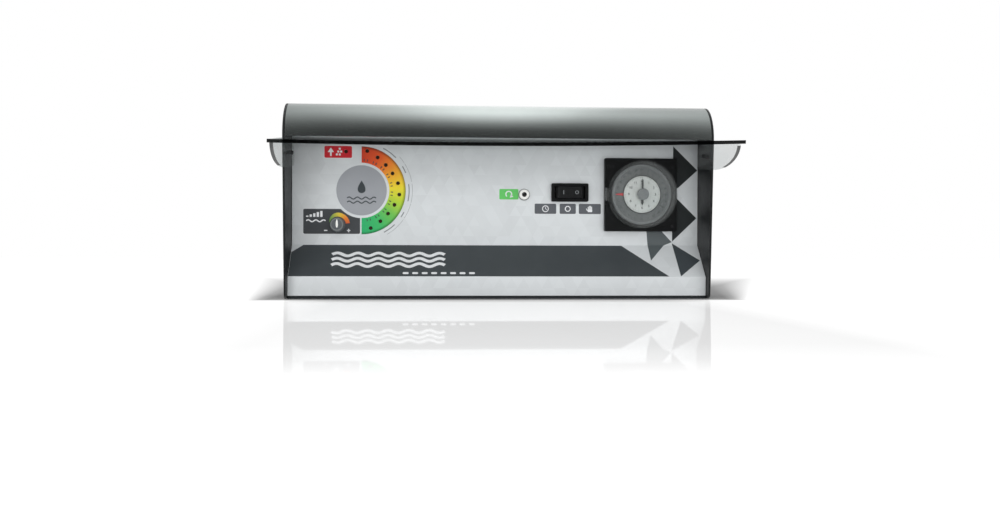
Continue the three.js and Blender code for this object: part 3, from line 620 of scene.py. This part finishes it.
def make_panel():
    line = [(0, panel_high.z), (0, FOLD_Z), (LIP_Y, LIP_TOP_Z), (LIP_Y, LIP_LOW_Z)]
    sheet = slab([bent(folded(line, 0.3, 3), SHEET)], -SPAN, SPAN, 0.25)
    # It is drawn from the side and then turned into the plane of the face, where its openings are.
    sheet.transform(SIDE.to_4x4())
    sheet.transform(FACE.to_4x4().inverted())
    body_low, body_high = box_mm("timer_body")
    gap = 0.3
    across, up = 15.5, 6.4
    timer_hole = oblong(body_low.x - gap, body_low.z - gap, body_high.x + gap, body_high.z + gap)
    switch_hole = oblong(SWITCH[0] - across, SWITCH[2] - up, SWITCH[0] + across, SWITCH[2] + up)
    cutters = [slab([hole], -5, 5) for hole in (timer_hole, switch_hole)]
    for place in (KNOB, RESET):
        cutters.append(moved(cylinder(3.6, -5, 5), place[0], place[2]))
    for node in LEDS:
        place = spot(node)
        cutters.append(moved(cylinder(1.9, -5, 5, 24), place[0], place[2]))
    piece("panel_sheet", carved(sheet, *cutters), "panel_silver", stands_for=["front_panel"], angle=25)


def make_base():
    low, high = box_mm("base_panel")
    line = [(low.y, 0), (29, 0), (29, 40), (high.y, 40)]
    sheet = slab([bent(folded(line, 1.2), 2.6)], -SPAN, SPAN, 0.25)
    holes = []
    for node in ("mains_gland_nut", "cell_gland_nut"):
        middle = centre_of(node)
        radius = 8.3 if node.startswith("mains") else 10.3
        holes.append(moved(cylinder(radius, 35, 48), middle.x, middle.y))
    outlet = centre_of("pump_outlet")
    holes.append(slab([oblong(outlet.x - 18.3, outlet.y - 15.3, outlet.x + 18.3, outlet.y + 15.3)], 35, 48))
    sheet.transform(SIDE.to_4x4())
    piece("base_sheet", carved(sheet, *holes), "case_sheet", basis=PLAN, stands_for=["base_panel"], angle=25)


# Lid: drawn flat in its own frame, then tilted as it hangs.
def make_lid():
    half = 199
    front, rear, offset, thick = -117.7, 7.2, 13.2, 3
    tip, corner, depth, ear = -104.5, -17.5, 24.3, 26
    right_lift, sag, hang = 1.45, 2.4, 6.74
    under = offset - thick / 2
    columns, rows = 48, 12
    bm = bmesh.new()
    grid = []
    for top in (False, True):
        z = offset + (thick / 2 if top else -thick / 2)
        grid.append([[bm.verts.new((-half + 2 * half * i / columns, front + (rear - front) * j / rows, z))
                      for i in range(columns + 1)] for j in range(rows + 1)])
    low_face, top_face = grid
    for j in range(rows):
        for i in range(columns):
            bm.faces.new((low_face[j][i], low_face[j + 1][i], low_face[j + 1][i + 1], low_face[j][i + 1]))
            bm.faces.new((top_face[j][i], top_face[j][i + 1], top_face[j + 1][i + 1], top_face[j + 1][i]))
    for i in range(columns):
        for j in (0, rows):
            bm.faces.new((low_face[j][i], low_face[j][i + 1], top_face[j][i + 1], top_face[j][i]))
    for j in range(rows):
        for i in (0, columns):
            bm.faces.new((low_face[j][i], low_face[j + 1][i], top_face[j + 1][i], top_face[j][i]))
    plate = finished(bm)
    curve = [(corner + (corner - tip) * math.cos(a), under + depth * math.sin(a))
             for a in (math.radians(180 + 90 * k / 24) for k in range(25))]
    low_angle = math.degrees(math.asin((under - depth) / ear))
    cheek = [(tip, offset)] + curve + arc((0, 0), ear, low_angle, 0, 10)
    cheek += [(ear - 3, 6), (rear, under), (rear, offset)]
    solid = plate
    for side in (-1, 1):
        low, high = sorted((side * half, side * (half - thick)))
        part = slab([cheek], low, high)
        part.transform(SIDE.to_4x4())
        solid = boolean(solid, part, "UNION")
    ends = ((-half - 1, -half + 5), (half - 5, half + 1))
    pins = merged([cylinder(PIN_BORE, low, high) for low, high in ends])
    pins.transform(SIDE.to_4x4())
    solid = boolean(solid, pins, "DIFFERENCE")
    for vertex in solid.vertices:
        x, y, z = vertex.co
        across = x / half
        along = (rear - y) / (rear - front)
        vertex.co.z = z + (right_lift * across - sag * (1 - across ** 2)) * along
    solid = eased(solid, 0.35, 50)
    # The plate's front edge and the front of the cheeks' rims are painted dark: painted shade standing in for the
    # darkness of looking edge-on through the tinted plastic.
    painted_dark_faces = {}
    for face in solid.polygons:
        middle = face.center
        on_cheek = abs(middle.x) > half - thick - 0.4 and middle.z < under - 0.8 and middle.y < -62
        if middle.y < front + 0.6:
            painted_dark_faces[face.index] = 1
        elif on_cheek and abs(face.normal.x) < 0.4:
            painted_dark_faces[face.index] = 2
    tilt = Matrix.Rotation(math.radians(hang), 3, "X")
    lid = piece("lid_shield", solid, "lid_clear", body="lid", basis=tilt, at=PIVOT, stands_for=["lid"], angle=30)
    lid.data.materials.append(LID_EDGE_PAINTED_DARK)
    lid.data.materials.append(CHEEK_RIM_PAINTED_DARK)
    for index, dark_slot in painted_dark_faces.items():
        lid.data.polygons[index].material_index = dark_slot


def make_pins():
    for name, side in (("left", -1), ("right", 1)):
        low, high = box_mm(f"lid_pin_{name}")
        profile = [(0, low.x), (1.4, low.x), (1.8, low.x + 0.4), (1.8, high.x - 0.4), (1.4, high.x), (0, high.x)]
        piece(f"pivot_pin_{name}", lathe(profile, 32), "component_black", basis=SIDE, at=(0, PIVOT.y, PIVOT.z),
              stands_for=[f"lid_pin_{name}"])


# Prints on the panel: thin pieces on the film, in face coordinates.
PRINT = 0.06


def printed(name, outlines, ink, at=(0, 0, 0), basis=FACE, layer=0, slot="panel_silver"):
    low = PRINT * layer + 0.01
    return piece(name, slab(outlines, low, low + PRINT), slot, basis=basis, at=at, look=INK[ink])


def printed_many(name, groups, ink, at=(0, 0, 0), basis=FACE, layer=1, slot="panel_silver"):
    low = PRINT * layer + 0.01
    meshes = [slab(outlines, low, low + PRINT) for outlines in groups]
    return piece(name, merged(meshes), slot, basis=basis, at=at, look=INK[ink])


def wave(left, right, level, height, waves, steps=60):
    run = right - left
    return [(left + run * i / steps, level + height * math.sin(2 * math.pi * waves * i / steps))
            for i in range(steps + 1)]


def sector(centre, inner, outer, start, end, steps=48):
    return arc(centre, outer, start, end, steps) + arc(centre, inner, end, start, steps)


def make_prints():
    gx, gz = GAUGE
    kx, kz = KNOB[0], KNOB[2]
    clear_of_leds = [ring_of(1.9, 20, (spot(node)[0], spot(node)[2])) for node in LEDS]
    printed("print_gauge", [sector(GAUGE, 26.9, 42.8, -90, 90, 72)] + clear_of_leds[:10], "gauge")
    ticks = []
    for node in LEDS[:10]:
        place = spot(node)
        angle = math.degrees(math.atan2(place[2] - gz, place[0] - gx))
        for shift in (-3, 3):
            ticks.append([sector(GAUGE, 28.3, 30.6, angle + shift - 0.9, angle + shift + 0.9, 2)])
    printed_many("print_gauge_ticks", ticks, "dark")
    printed("print_gauge_disc", [ring_of(24.4, 96, GAUGE)], "disc")
    drop = [(gx + 5.2 * math.sin(t) * math.sin(t / 2) ** 1.3, gz + 3.5 + 6.2 * math.cos(t))
            for t in (2 * math.pi * i / 40 for i in range(40))]
    glyphs = [[drop]] + [[stroke(wave(gx - 14, gx + 14, gz - 7.5 - 4 * k, 1.0, 3.5), 1.1)] for k in (0, 1)]
    printed_many("print_gauge_badge", glyphs, "dark")
    bar_spans = ((63, 44), (31, 22), (8, -13), (-27, -34), (-46, -62))
    arc_spans = ((42, 33), (32, 10), (8, -14), (-15, -33), (-35, -60))
    bars = [[sector(GAUGE, 45.6, 46.6, low, high, 12)] for high, low in bar_spans]
    arcs = [[sector(GAUGE, 49.2, 49.5, low, high, 16)] for high, low in arc_spans]
    printed_many("print_gauge_arcs", bars + arcs, "mist", layer=0)

    left, low, right, high = -168.7, 135.6, -142.0, 147.2
    label = oblong(left, low, right, high, 1.6)
    rim = oblong(left - 0.5, low - 0.5, right + 0.5, high + 0.5, 2)
    printed("print_salt_label", [label, clear_of_leds[10]], "red")
    printed_many("print_salt_rim", [[rim, label]], "white", layer=0)
    glyphs = [[[(-165.5, 141.2), (-162.4, 145.6), (-159.3, 141.2)]], [oblong(-163.2, 137.4, -161.6, 141.3)]]
    grains = ((-157.6, 138), (-154.8, 138), (-156.2, 140.8), (-153.4, 140.8), (-154.8, 143.6))
    glyphs += [[oblong(x, z, x + 1.9, z + 1.9, 0.3, 2)] for x, z in grains]
    printed_many("print_salt_glyph", glyphs, "white")

    low, high = 61.8, 86.0
    outline = oblong(-188.9, low, -134.2, high, 1.6)
    quarter = len(outline) // 4
    bite = arc(GAUGE, 27.0, 267, 180 + math.degrees(math.asin((gz - high) / 27.0)), 20)
    outline = outline[: 2 * quarter] + bite + outline[3 * quarter:]
    printed("print_control_label", [outline, ring_of(3.6, 32, (kx, kz))], "slate")
    inner = arc((kx, kz), 7.9, 8, 165, 40)
    outer = []
    for i in range(41):
        angle = math.radians(8 + 157 * i / 40)
        reach = 11.8 if i < 20 else 11.8 - 3.6 * ((i - 20) / 20) ** 1.5
        outer.append((kx + reach * math.cos(angle), kz + reach * math.sin(angle)))
    printed("print_control_arc", [inner + outer[::-1]], "dial", layer=1)
    glyphs = []
    for k in range(5):
        glyphs.append([oblong(-186.2 + 3.4 * k, 78.2, -184.0 + 3.4 * k, 79.4 + 1.15 * k, 0.2, 2)])
    glyphs.append([stroke(wave(-186, -167.5, 74.4, 0.9, 2.5), 1.2)])
    glyphs.append([oblong(-168.9, 64.6, -165.7, 65.6)])
    glyphs.append([oblong(-146.8, 64.6, -143.6, 65.6)])
    glyphs.append([oblong(-145.7, 63.5, -144.7, 66.7)])
    printed_many("print_control_glyph", glyphs, "white")

    printed("print_reset_label", [oblong(1.7, 96.2, 20.5, 106.5, 1.2)], "green")
    loop = [sector((11.0, 101.4), 2.3, 3.4, -40, 230, 30)]
    printed_many("print_reset_glyph", [loop, [[(12.0, 98.0), (15.6, 98.9), (13.0, 101.3)]]], "white")

    low, high = 82.3, 92.3
    for name, a, b in (("timer", 36.6, 58.0), ("off", 61.4, 77.5), ("manual", 80.5, 102.4)):
        printed(f"print_{name}_label", [oblong(a, low, b, high, 1.2)], "label")
    z = (low + high) / 2
    clock = [[ring_of(radius, 32, (47.3, z)) for radius in (3.3, 2.5)]]
    clock += [[stroke([(47.3, z + 1.9), (47.3, z), (48.9, z - 0.8)], 0.6)]]
    circle = [[ring_of(radius, 32, (69.45, z)) for radius in (2.9, 2.0)]]
    hand = [[oblong(89.4, z - 3.1, 93.8, z - 0.4, 0.6)]]
    for k, tip in enumerate((0, 0.8, 0.8, 0)):
        hand += [[oblong(89.4 + 1.12 * k, z - 0.4, 90.3 + 1.12 * k, z + 2.2 + tip, 0.4, 3)]]
    hand += [[stroke([(89.2, z - 1.9), (87.9, z + 0.3)], 0.9)]]
    printed_many("print_mode_glyphs", clock + circle + hand, "white")


def make_triangles():
    printed("print_triangle_1", [[(174.9, 150.0), (199.3, 126.2), (179.9, 108.6), (174.9, 108.6)]], "black")
    printed("print_triangle_2", [[(175.4, 101.4), (198.5, 78.6), (174.1, 55.3), (174.1, 80)]], "black")
    upper = [(148.2, 65.4), (149.4, FOLD_Z), (165.6, FOLD_Z), (173.7, 54.7), (163.5, 65.4)]
    printed("print_triangle_3", [upper], "shade")
    climb = SLOPE_LENGTH / (FOLD_Z - LIP_TOP_Z)
    foot = {"basis": SLOPE, "at": SLOPE_FOOT}

    def v(z):
        return (z - LIP_TOP_Z) * climb

    printed("print_triangle_3b", [[(149.4, SLOPE_LENGTH), (165.6, SLOPE_LENGTH), (149.6, v(36.4))]], "shade", **foot)
    printed("print_triangle_4a", [[(173.9, 53.6), (174.3, FOLD_Z), (177.3, FOLD_Z)]], "dark")
    lower = [(174.4, SLOPE_LENGTH), (177.4, SLOPE_LENGTH), (198.2, v(36.6)), (175.6, 0.6)]
    printed("print_triangle_4", [lower], "dark", **foot)
    band = [(-SPAN + 0.4, 0.5), (164.2, 0.5), (122.8, SLOPE_LENGTH - 0.6), (-188.5, SLOPE_LENGTH - 0.6)]
    band.append((-SPAN + 0.4, 33))
    printed("print_band", [band], "band", **foot)
    waves = [[stroke(wave(-160, -52, 29.8 - 7.2 * k, 2.0, 5.5, 120), 3.6)] for k in range(3)]
    printed_many("print_band_waves", waves, "white", layer=1, **foot)
    dashes = [[oblong(-92 + 9.0 * k, 3.4, -86.4 + 9.0 * k, 6.0, 1.2, 4)] for k in range(8)]
    printed_many("print_band_dashes", dashes, "white", layer=1, **foot)


# Lamps, knob, reset button, mode switch
def make_lamps():
    for node in LEDS:
        low, high = box_mm(node)
        depth = -high.y
        profile = [(0, depth), (1.5, depth), (1.5, -0.7)] + [(1.5 * math.cos(a), -0.7 + 0.8 * math.sin(a))
                   for a in (math.radians(15 * k) for k in range(1, 6))] + [(0, 0.1)]
        piece(f"lens_{node}", lathe(profile, 24), "led_lens", at=spot(node), stands_for=[node])


def make_knob():
    body = [(1.8, 0.6), (7.1, 0.6), (7.4, 0.9), (7.4, 1.5), (7.0, 2.1), (6.7, 2.3)]
    body += [(6.4, 8.7), (6.1, 9.2), (0, 9.2), (0, 7), (1.8, 7)]
    flutes, flute_depth = 24, 0.022
    bm = bmesh.new()
    bm.from_mesh(lathe(body, 96))
    for vertex in bm.verts:
        r = math.hypot(vertex.co.x, vertex.co.y)
        if 6.2 < r and 2.2 < vertex.co.z < 9:
            scale = 1 - flute_depth * (1 + math.cos(flutes * math.atan2(vertex.co.y, vertex.co.x))) / 2
            vertex.co.x *= scale
            vertex.co.y *= scale
    mesh = finished(bm)
    piece("knob_body", mesh, "knob_grey", body="knob", at=KNOB, stands_for=["control_knob"])
    rim = lathe([(6.15, 9.0), (6.2, 9.5), (5.2, 9.6), (5.0, 9.1)], 72)
    piece("knob_rim", rim, "hub_grey", body="knob", at=KNOB)
    pointer = [(0.9 * math.sin(t) * (1.15 - 0.25 * math.cos(t)), 0.9 + 4.1 * math.cos(t))
               for t in (2 * math.pi * i / 32 for i in range(32))]
    piece("knob_pointer", slab([pointer], 9.15, 9.55, 0.1), "collar_white", body="knob", at=KNOB)


def make_reset():
    collar = [(3.6, 0.3), (4.8, 0.3), (5, 0.5), (5, 2.5), (4.75, 3.2), (4.2, 3.75)]
    collar += [(3.5, 4.1), (2.8, 4.2), (2.45, 4.1), (2.3, 3.8), (2.3, 3.4), (3.6, 3.4)]
    piece("reset_ring", lathe(collar, 64), "collar_white", at=RESET, stands_for=["reset_collar"])
    washer = lathe([(5.05, 0.1), (5.7, 0.1), (5.7, 0.45), (5.05, 0.5)], 64)
    piece("reset_washer", washer, "hub_grey", at=RESET)
    button = [(0, -12), (1.9, -12), (1.9, 4.5), (1.75, 4.9), (1.4, 5.1), (0, 5.2)]
    piece("reset_push", lathe(button, 40), "button_black", body="reset_button", at=RESET, stands_for=["reset_button"])


def make_switch():
    low, high = box_mm("switch_bezel")
    half = ((high.x - low.x) / 2, (high.z - low.z) / 2)
    rim = oblong(-half[0], -half[1], half[0], half[1], 1.8, 6)
    mesh = slab([rim, oblong(-15.0, -6.0, 15.0, 6.0)], 0.3, 4.5, 0.5)
    piece("mode_bezel", mesh, "timer_black", at=SWITCH, stands_for=["switch_bezel"])
    radius = 14.7
    tip = math.degrees(math.asin(9.6 / radius))
    back = math.degrees(math.asin(2.6 / radius))
    plan = arc((0, 2), radius, -back, -tip, 8)
    plan += [(x, -5.4 - 2.2 * (abs(x) / 11.13) ** 1.6) for x in (10.2, 8, 6, 4, 2, 0, -2, -4, -6, -8, -10.2)]
    plan += arc((0, 2), radius, 180 + tip, 180 + back, 8)
    rocker = slab([plan], -5.7, 5.7, 0.35)
    piece("mode_rocker", rocker, "button_black", body="rocker", basis=PLAN, at=SWITCH, stands_for=["switch_rocker"])
    marks = [[oblong(-7.0, -1.9, -6.3, 1.9)], [ring_of(1.8, 28, (6.5, 0)), ring_of(1.25, 28, (6.5, 0))]]
    mesh = merged([slab(outlines, 5.2, 6.95) for outlines in marks])
    piece("mode_marks", mesh, "hub_grey", body="rocker", at=SWITCH, look=INK["mist"])


# Time switch
def hours(count, radius, size, turned):
    """The numbers of a dial, clockwise from the top, upright or turned with the dial."""
    marks = []
    for hour in range(1, count + 1):
        angle = 360 // count * hour
        place = math.radians(angle)
        marks.append((hour, radius * math.sin(place), radius * math.cos(place), size, -angle if turned else 0))
    return marks


def ticks_round(count, every, inner, short, long, low, high):
    """The ticks of a dial. Short and long are each (outer radius, half width)."""
    ticks = []
    for i in range(count):
        outer, half = short if i % every else long
        ticks.append(moved(slab([oblong(inner, -half, outer, half)], low, high), turn=360 / count * i))
    return merged(ticks)


def make_hand(length, width, low, thick):
    blade = [(-width / 4, -1), (-width / 3, 3), (-width / 2, length * 0.72), (0, length)]
    blade += [(width / 2, length * 0.72), (width / 3, 3), (width / 4, -1)]
    boss = lathe([(0, low), (3.4, low), (3.4, low + thick), (0, low + thick)], 40)
    return boolean(boss, slab([blade], low + 0.05, low + thick - 0.05), "UNION")


def make_timer():
    at = TIMER
    low, high = box_mm("timer_bezel")
    half = (high.z - low.z) / 2
    frame_mesh = slab([oblong(-half, -half, half, half, 1.6, 5), ring_of(30.7, 96)], 0.3, 6.3, 0.5)
    lugs = []
    hinge = COVER_HINGE.x - at[0]
    for side in (-1, 1):
        lugs.append(slab([oblong(hinge - 1.8, side * 8 - 1.5, hinge + 2.0, side * 8 + 1.5, 0.4)], 6, 10.8, 0.2))
    frame_mesh = boolean(frame_mesh, merged(lugs), "UNION")

    def along_hinge(mesh):
        mesh.transform(Matrix.Translation((hinge, 0, 9)) @ Matrix.Rotation(math.pi / 2, 4, "X"))
        return mesh

    frame_mesh = boolean(frame_mesh, along_hinge(cylinder(1.1, -12, 12, 24)), "DIFFERENCE")
    piece("timer_frame", frame_mesh, "timer_black", at=at, stands_for=["timer_bezel"])
    slider = slab([oblong(-34, 26.0, -26.8, 29.2, 0.5), oblong(-33.4, 26.6, -29.4, 28.6, 0.3)], 6.3, 6.6, 0.1)
    lock = slab([oblong(-31.8, 27.0, -29.9, 28.2, 0.2)], 6.3, 6.9, 0.1)
    piece("timer_slider", merged([slider, lock]), "timer_black", at=at, look=LOOKS["component_black"])
    screws = [moved(lathe([(0, 6.25), (1.7, 6.25), (1.7, 6.6), (1.3, 6.8), (0, 6.85)], 28), x, z)
              for x, z in ((31.4, 27.6), (31.4, -31.2))]
    piece("timer_screws", merged(screws), "timer_black", at=at, look=LOOKS["component_black"])

    inner, outer, back, front = 31.4, 33, 6.9, 22.5
    cup = [(inner, back), (outer, back), (outer, front - 2)]
    cup += [(outer - 2 + 2 * math.cos(a), front - 2 + 2 * math.sin(a))
            for a in (math.radians(15 * k) for k in range(1, 7))]
    cup += [(0, front), (0, front - 1.6), (inner - 1, front - 1.6), (inner, front - 2.6)]
    wall = lathe(cup, 96)
    strap = slab([oblong(hinge + 0.1, -6, hinge + 3.7, 6, 0.4)], 8, 10.6, 0.2)
    knuckle = along_hinge(lathe([(0, -6), (1.7, -6), (1.9, -5.8), (1.9, 5.8), (1.7, 6), (0, 6)], 28))
    cover = boolean(boolean(wall, strap, "UNION"), knuckle, "UNION")
    cover = boolean(cover, along_hinge(cylinder(1.1, -12, 12, 24)), "DIFFERENCE")
    piece("timer_window", cover, "timer_clear", body="timer_cover", at=at, stands_for=["timer_cover"])

    web = [(4.4, 0.8), (28.5, 0.8), (28.5, 9.5), (28.2, 9.7), (19.3, 10.1), (19, 9.9), (19, 2.6), (4.4, 2.6)]
    tappets = [moved(slab([oblong(26.9, -0.62, 29.4, 0.62, 0.2, 2)], 6.5, 10.5), turn=3.75 * i) for i in range(96)]
    dial = {"body": "day_dial", "at": at}
    piece("dial_ring", lathe(web, 96), "dial_grey", stands_for=["timer_dial"], **dial)
    piece("dial_tappets", merged(tappets), "dial_grey", look=LOOKS["hub_grey"], **dial)
    numbers = numerals(hours(24, 23.9, 3.1, True), 0.2, 9.85)
    piece("dial_numbers", numbers, "dial_grey", look=INK["black"], **dial)
    ticks = ticks_round(96, 4, 19.5, (20.8, 0.12), (21.8, 0.2), 9.95, 10.17)
    piece("dial_ticks", ticks, "dial_grey", look=INK["black"], **dial)

    face = [(0, 0.3), (4, 0.3), (4, 10.5), (17.9, 10.5), (18, 10.6), (18, 11.8), (17.8, 12), (0, 12)]
    piece("clock_plate", lathe(face, 96), "clock_white", at=at, stands_for=["timer_clock_face"])
    numbers = numerals(hours(12, 13.2, 3.4, False), 0.1, 11.98)
    piece("clock_numbers", numbers, "clock_white", at=at, look=INK["black"])
    ticks = ticks_round(60, 5, 16.2, (17.4, 0.1), (17.4, 0.2), 11.98, 12.08)
    piece("clock_ticks", ticks, "clock_white", at=at, look=INK["black"])

    # The hands show six o'clock.
    hour = make_hand(11, 2.6, 12.3, 0.8)
    hour.transform(Matrix.Rotation(math.pi, 4, "Z"))
    piece("hand_hour", hour, "hand_black", body="hour_hand", at=at, stands_for=["hour_hand"])
    minute = make_hand(15.5, 2.0, 13.4, 0.8)
    piece("hand_minute", minute, "hand_black", body="minute_hand", at=at, stands_for=["minute_hand"])
    hub = lathe([(0, 14.5), (5.6, 14.5), (5.6, 17.7), (5.4, 18.2), (5.0, 18.5), (0, 18.5)], 64)
    groove = slab([oblong(-4.2, -0.55, 4.2, 0.55, 0.5)], 17.9, 19)
    hub = boolean(hub, groove, "DIFFERENCE")
    piece("hand_hub", hub, "hub_grey", body="minute_hand", at=at, stands_for=["timer_hub"])
    needle = slab([[(-18.5, 1.3), (-26, 0.5), (-26, -0.5), (-18.5, -1.3)]], 10.9, 11.7, 0.08)
    piece("index_pointer", needle, "pointer_red", at=at, stands_for=["timer_pointer"])


# ------------------------------------------------------------------ camera, light and floor
CAMERA_PLACE = (-0.06557, -0.98131, 0.04308)
CAMERA_YAW, CAMERA_PITCH, CAMERA_ROLL = 3.9686, -0.5173, 0.1359
AIM = (0, 0, 0.1)


def make_camera():
    data = bpy.data.cameras.new("camera")
    data.lens = 36
    data.sensor_width = 36
    data.clip_start = 0.01
    camera = bpy.data.objects.new("camera", data)
    bpy.context.scene.collection.objects.link(camera)
    yaw, pitch, roll = (math.radians(a) for a in (CAMERA_YAW, CAMERA_PITCH, CAMERA_ROLL))
    right = Vector((math.cos(yaw), -math.sin(yaw), 0))
    level = Vector((math.sin(yaw), math.cos(yaw), 0))
    ahead = level * math.cos(pitch) + Vector((0, 0, math.sin(pitch)))
    up = Vector((0, 0, math.cos(pitch))) - level * math.sin(pitch)
    side = right * math.cos(roll) + up * math.sin(roll)
    top = up * math.cos(roll) - right * math.sin(roll)
    turn = Matrix((side, top, -ahead)).transposed().to_4x4()
    camera.matrix_world = Matrix.Translation(CAMERA_PLACE) @ turn
    bpy.context.scene.camera = camera


def make_world():
    """White behind the object, an even fill for matt surfaces, and lighter and darker zones for glossy ones."""
    world = bpy.data.worlds.new("studio")
    bpy.context.scene.world = world
    world.use_nodes = True
    n = Nodes(world.node_tree)
    parts = n.add("SeparateXYZ")
    n.join(n.add("TexCoord").outputs["Generated"], parts.inputs[0])
    ahead = n.math("ADD", n.math("MULTIPLY", parts.outputs["Y"], 0.5), 0.5)
    across = n.math("ADD", n.math("MULTIPLY", parts.outputs["X"], 0.5), 0.5)
    rise = [(0.0, 0.02), (0.08, 0.1), (0.2, 0.42), (0.345, 1.0), (0.5, 1.5), (0.604, 1.65), (0.86, 1.42), (1.0, 1.15)]
    sweep = [(0.0, 0.3), (0.33, 0.38), (0.435, 0.68), (0.49, 1.05), (0.535, 1.1), (0.585, 0.98)]
    sweep += [(0.635, 0.58), (0.75, 0.45), (1.0, 0.4)]
    room = n.add("Background")
    n.join(n.tinted(n.greys(ahead, rise), n.greys(across, sweep)), room.inputs["Color"])
    fill = n.add("Background")
    fill.inputs["Color"].default_value = (0.5, 0.5, 0.5, 1)
    backdrop = n.add("Background")
    backdrop.inputs["Color"].default_value = (1, 1, 1, 1)
    seen = n.add("LightPath")
    inner = n.add("MixShader")
    n.join(seen.outputs["Is Glossy Ray"], inner.inputs[0])
    n.join(fill.outputs[0], inner.inputs[1])
    n.join(room.outputs[0], inner.inputs[2])
    mix = n.add("MixShader")
    n.join(seen.outputs["Is Camera Ray"], mix.inputs[0])
    n.join(inner.outputs[0], mix.inputs[1])
    n.join(backdrop.outputs[0], mix.inputs[2])
    out = n.add("OutputWorld")
    n.join(mix.outputs[0], out.inputs["Surface"])


def add_softbox(name, width, height, energy, place):
    data = bpy.data.lights.new(name, "AREA")
    data.shape = "RECTANGLE"
    data.size = width
    data.size_y = height
    data.energy = energy
    light = bpy.data.objects.new(name, data)
    bpy.context.scene.collection.objects.link(light)
    aim = (Vector(AIM) - Vector(place)).to_track_quat("-Z", "Y").to_matrix().to_4x4()
    light.matrix_world = Matrix.Translation(place) @ aim
    light.visible_camera = False
    light.visible_glossy = False


def make_lights():
    add_softbox("left_softbox", 0.5, 0.5, 3.5, (-1.0, -1.1, 0.15))
    add_softbox("right_softbox", 0.5, 0.5, 2.0, (1.0, -1.1, 0.15))
    add_softbox("front_softbox", 1.0, 0.4, 6.0, (0.2, -1.5, 0.2))
    add_softbox("top_softbox", 1.2, 0.6, 5.6, (-0.2, -1.1, 1.0))


def make_floor():
    """A pale floor. A soft shadow beside and behind the case is drawn in it, and it mirrors in a strip in front.

    All places in it are the floor's own, in metres.
    """
    floor_half, drop = 6, 0.0001
    shadow_front, case_half = -0.05, 0.195  # where the shadow starts, and half its width there
    shadow_lean, shadow_spread, shadow_edge = 0.095, 0.265, 0.042  # sideways shift, widening and first width
    mirror_end = -0.75
    bm = bmesh.new()
    bmesh.ops.create_grid(bm, x_segments=1, y_segments=1, size=floor_half)
    mesh = finished(bm)
    mesh.transform(Matrix.Translation((0, 0, -drop)))
    material = bpy.data.materials.new("floor")
    material.use_nodes = True
    n = Nodes(material.node_tree)
    parts = n.add("SeparateXYZ")
    n.join(n.place(), parts.inputs[0])
    back = n.math("MAXIMUM", n.math("ADD", parts.outputs["Y"], -shadow_front), 0)
    reach = n.math("ADD", n.math("MULTIPLY", back, shadow_spread), shadow_edge)
    across = n.math("SUBTRACT", parts.outputs["X"], n.math("MULTIPLY", back, shadow_lean))
    beside = n.math("SUBTRACT", n.math("ABSOLUTE", across), case_half)
    soft = [(0.0, 0.0), (0.5, 0.05), (0.65, 0.22), (0.8, 0.6), (0.95, 1.0)]
    wedge = n.greys(n.math("DIVIDE", beside, reach), soft)
    near = n.math("DIVIDE", parts.outputs["Y"], mirror_end)
    front = n.greys(near, [(0.06, 0), (0.09, 1)])
    away = n.greys(back, [(0.3, 0), (0.9, 1)])
    lit = n.math("MAXIMUM", n.math("MAXIMUM", wedge, front), away)
    matt = n.add("BsdfDiffuse")
    n.join(n.greys(n.noise(3), [(0.3, 0.44), (0.7, 0.46)]), matt.inputs["Color"])
    glow = n.add("Emission")
    n.join(n.greys(lit, [(0, 0), (1, 0.84)]), glow.inputs["Color"])
    plain = n.add("AddShader")
    n.join(matt.outputs[0], plain.inputs[0])
    n.join(glow.outputs[0], plain.inputs[1])
    mirror = n.add("BsdfGlossy")
    mirror.inputs["Roughness"].default_value = 0.025
    share = n.greys(near, [(0.0, 0), (0.06, 0.42), (0.5, 0.42), (0.68, 0.4), (0.77, 0.33), (0.86, 0.16), (0.93, 0)])
    width = n.greys(n.math("ABSOLUTE", parts.outputs["X"]), [(0.15, 1), (0.24, 0)])
    mix = n.add("MixShader")
    n.join(n.math("MULTIPLY", share, width), mix.inputs[0])
    n.join(plain.outputs[0], mix.inputs[1])
    n.join(mirror.outputs[0], mix.inputs[2])
    out = n.add("OutputMaterial")
    n.join(mix.outputs[0], out.inputs["Surface"])
    floor = bpy.data.objects.new("floor", mesh)
    floor.data.materials.append(material)
    bpy.context.scene.collection.objects.link(floor)
    floor.visible_glossy = False


make_camera()
make_world()
make_lights()
make_floor()
bpy.context.scene.view_settings.view_transform = "Standard"

for row in frame["record"]["subparts"]:
    node = frame["nodes"][row["node"]]
    node.data.materials.clear()
    node.data.materials.append(LOOKS[row["material_slot"]])

make_hood()
make_panel()
make_base()
for cap, hand_side in (("left", -1), ("right", 1)):
    make_cap(cap, hand_side)
    make_screws(cap, hand_side)
make_lid()
make_pins()
make_prints()
make_triangles()
make_lamps()
make_knob()
make_reset()
make_switch()
make_timer()
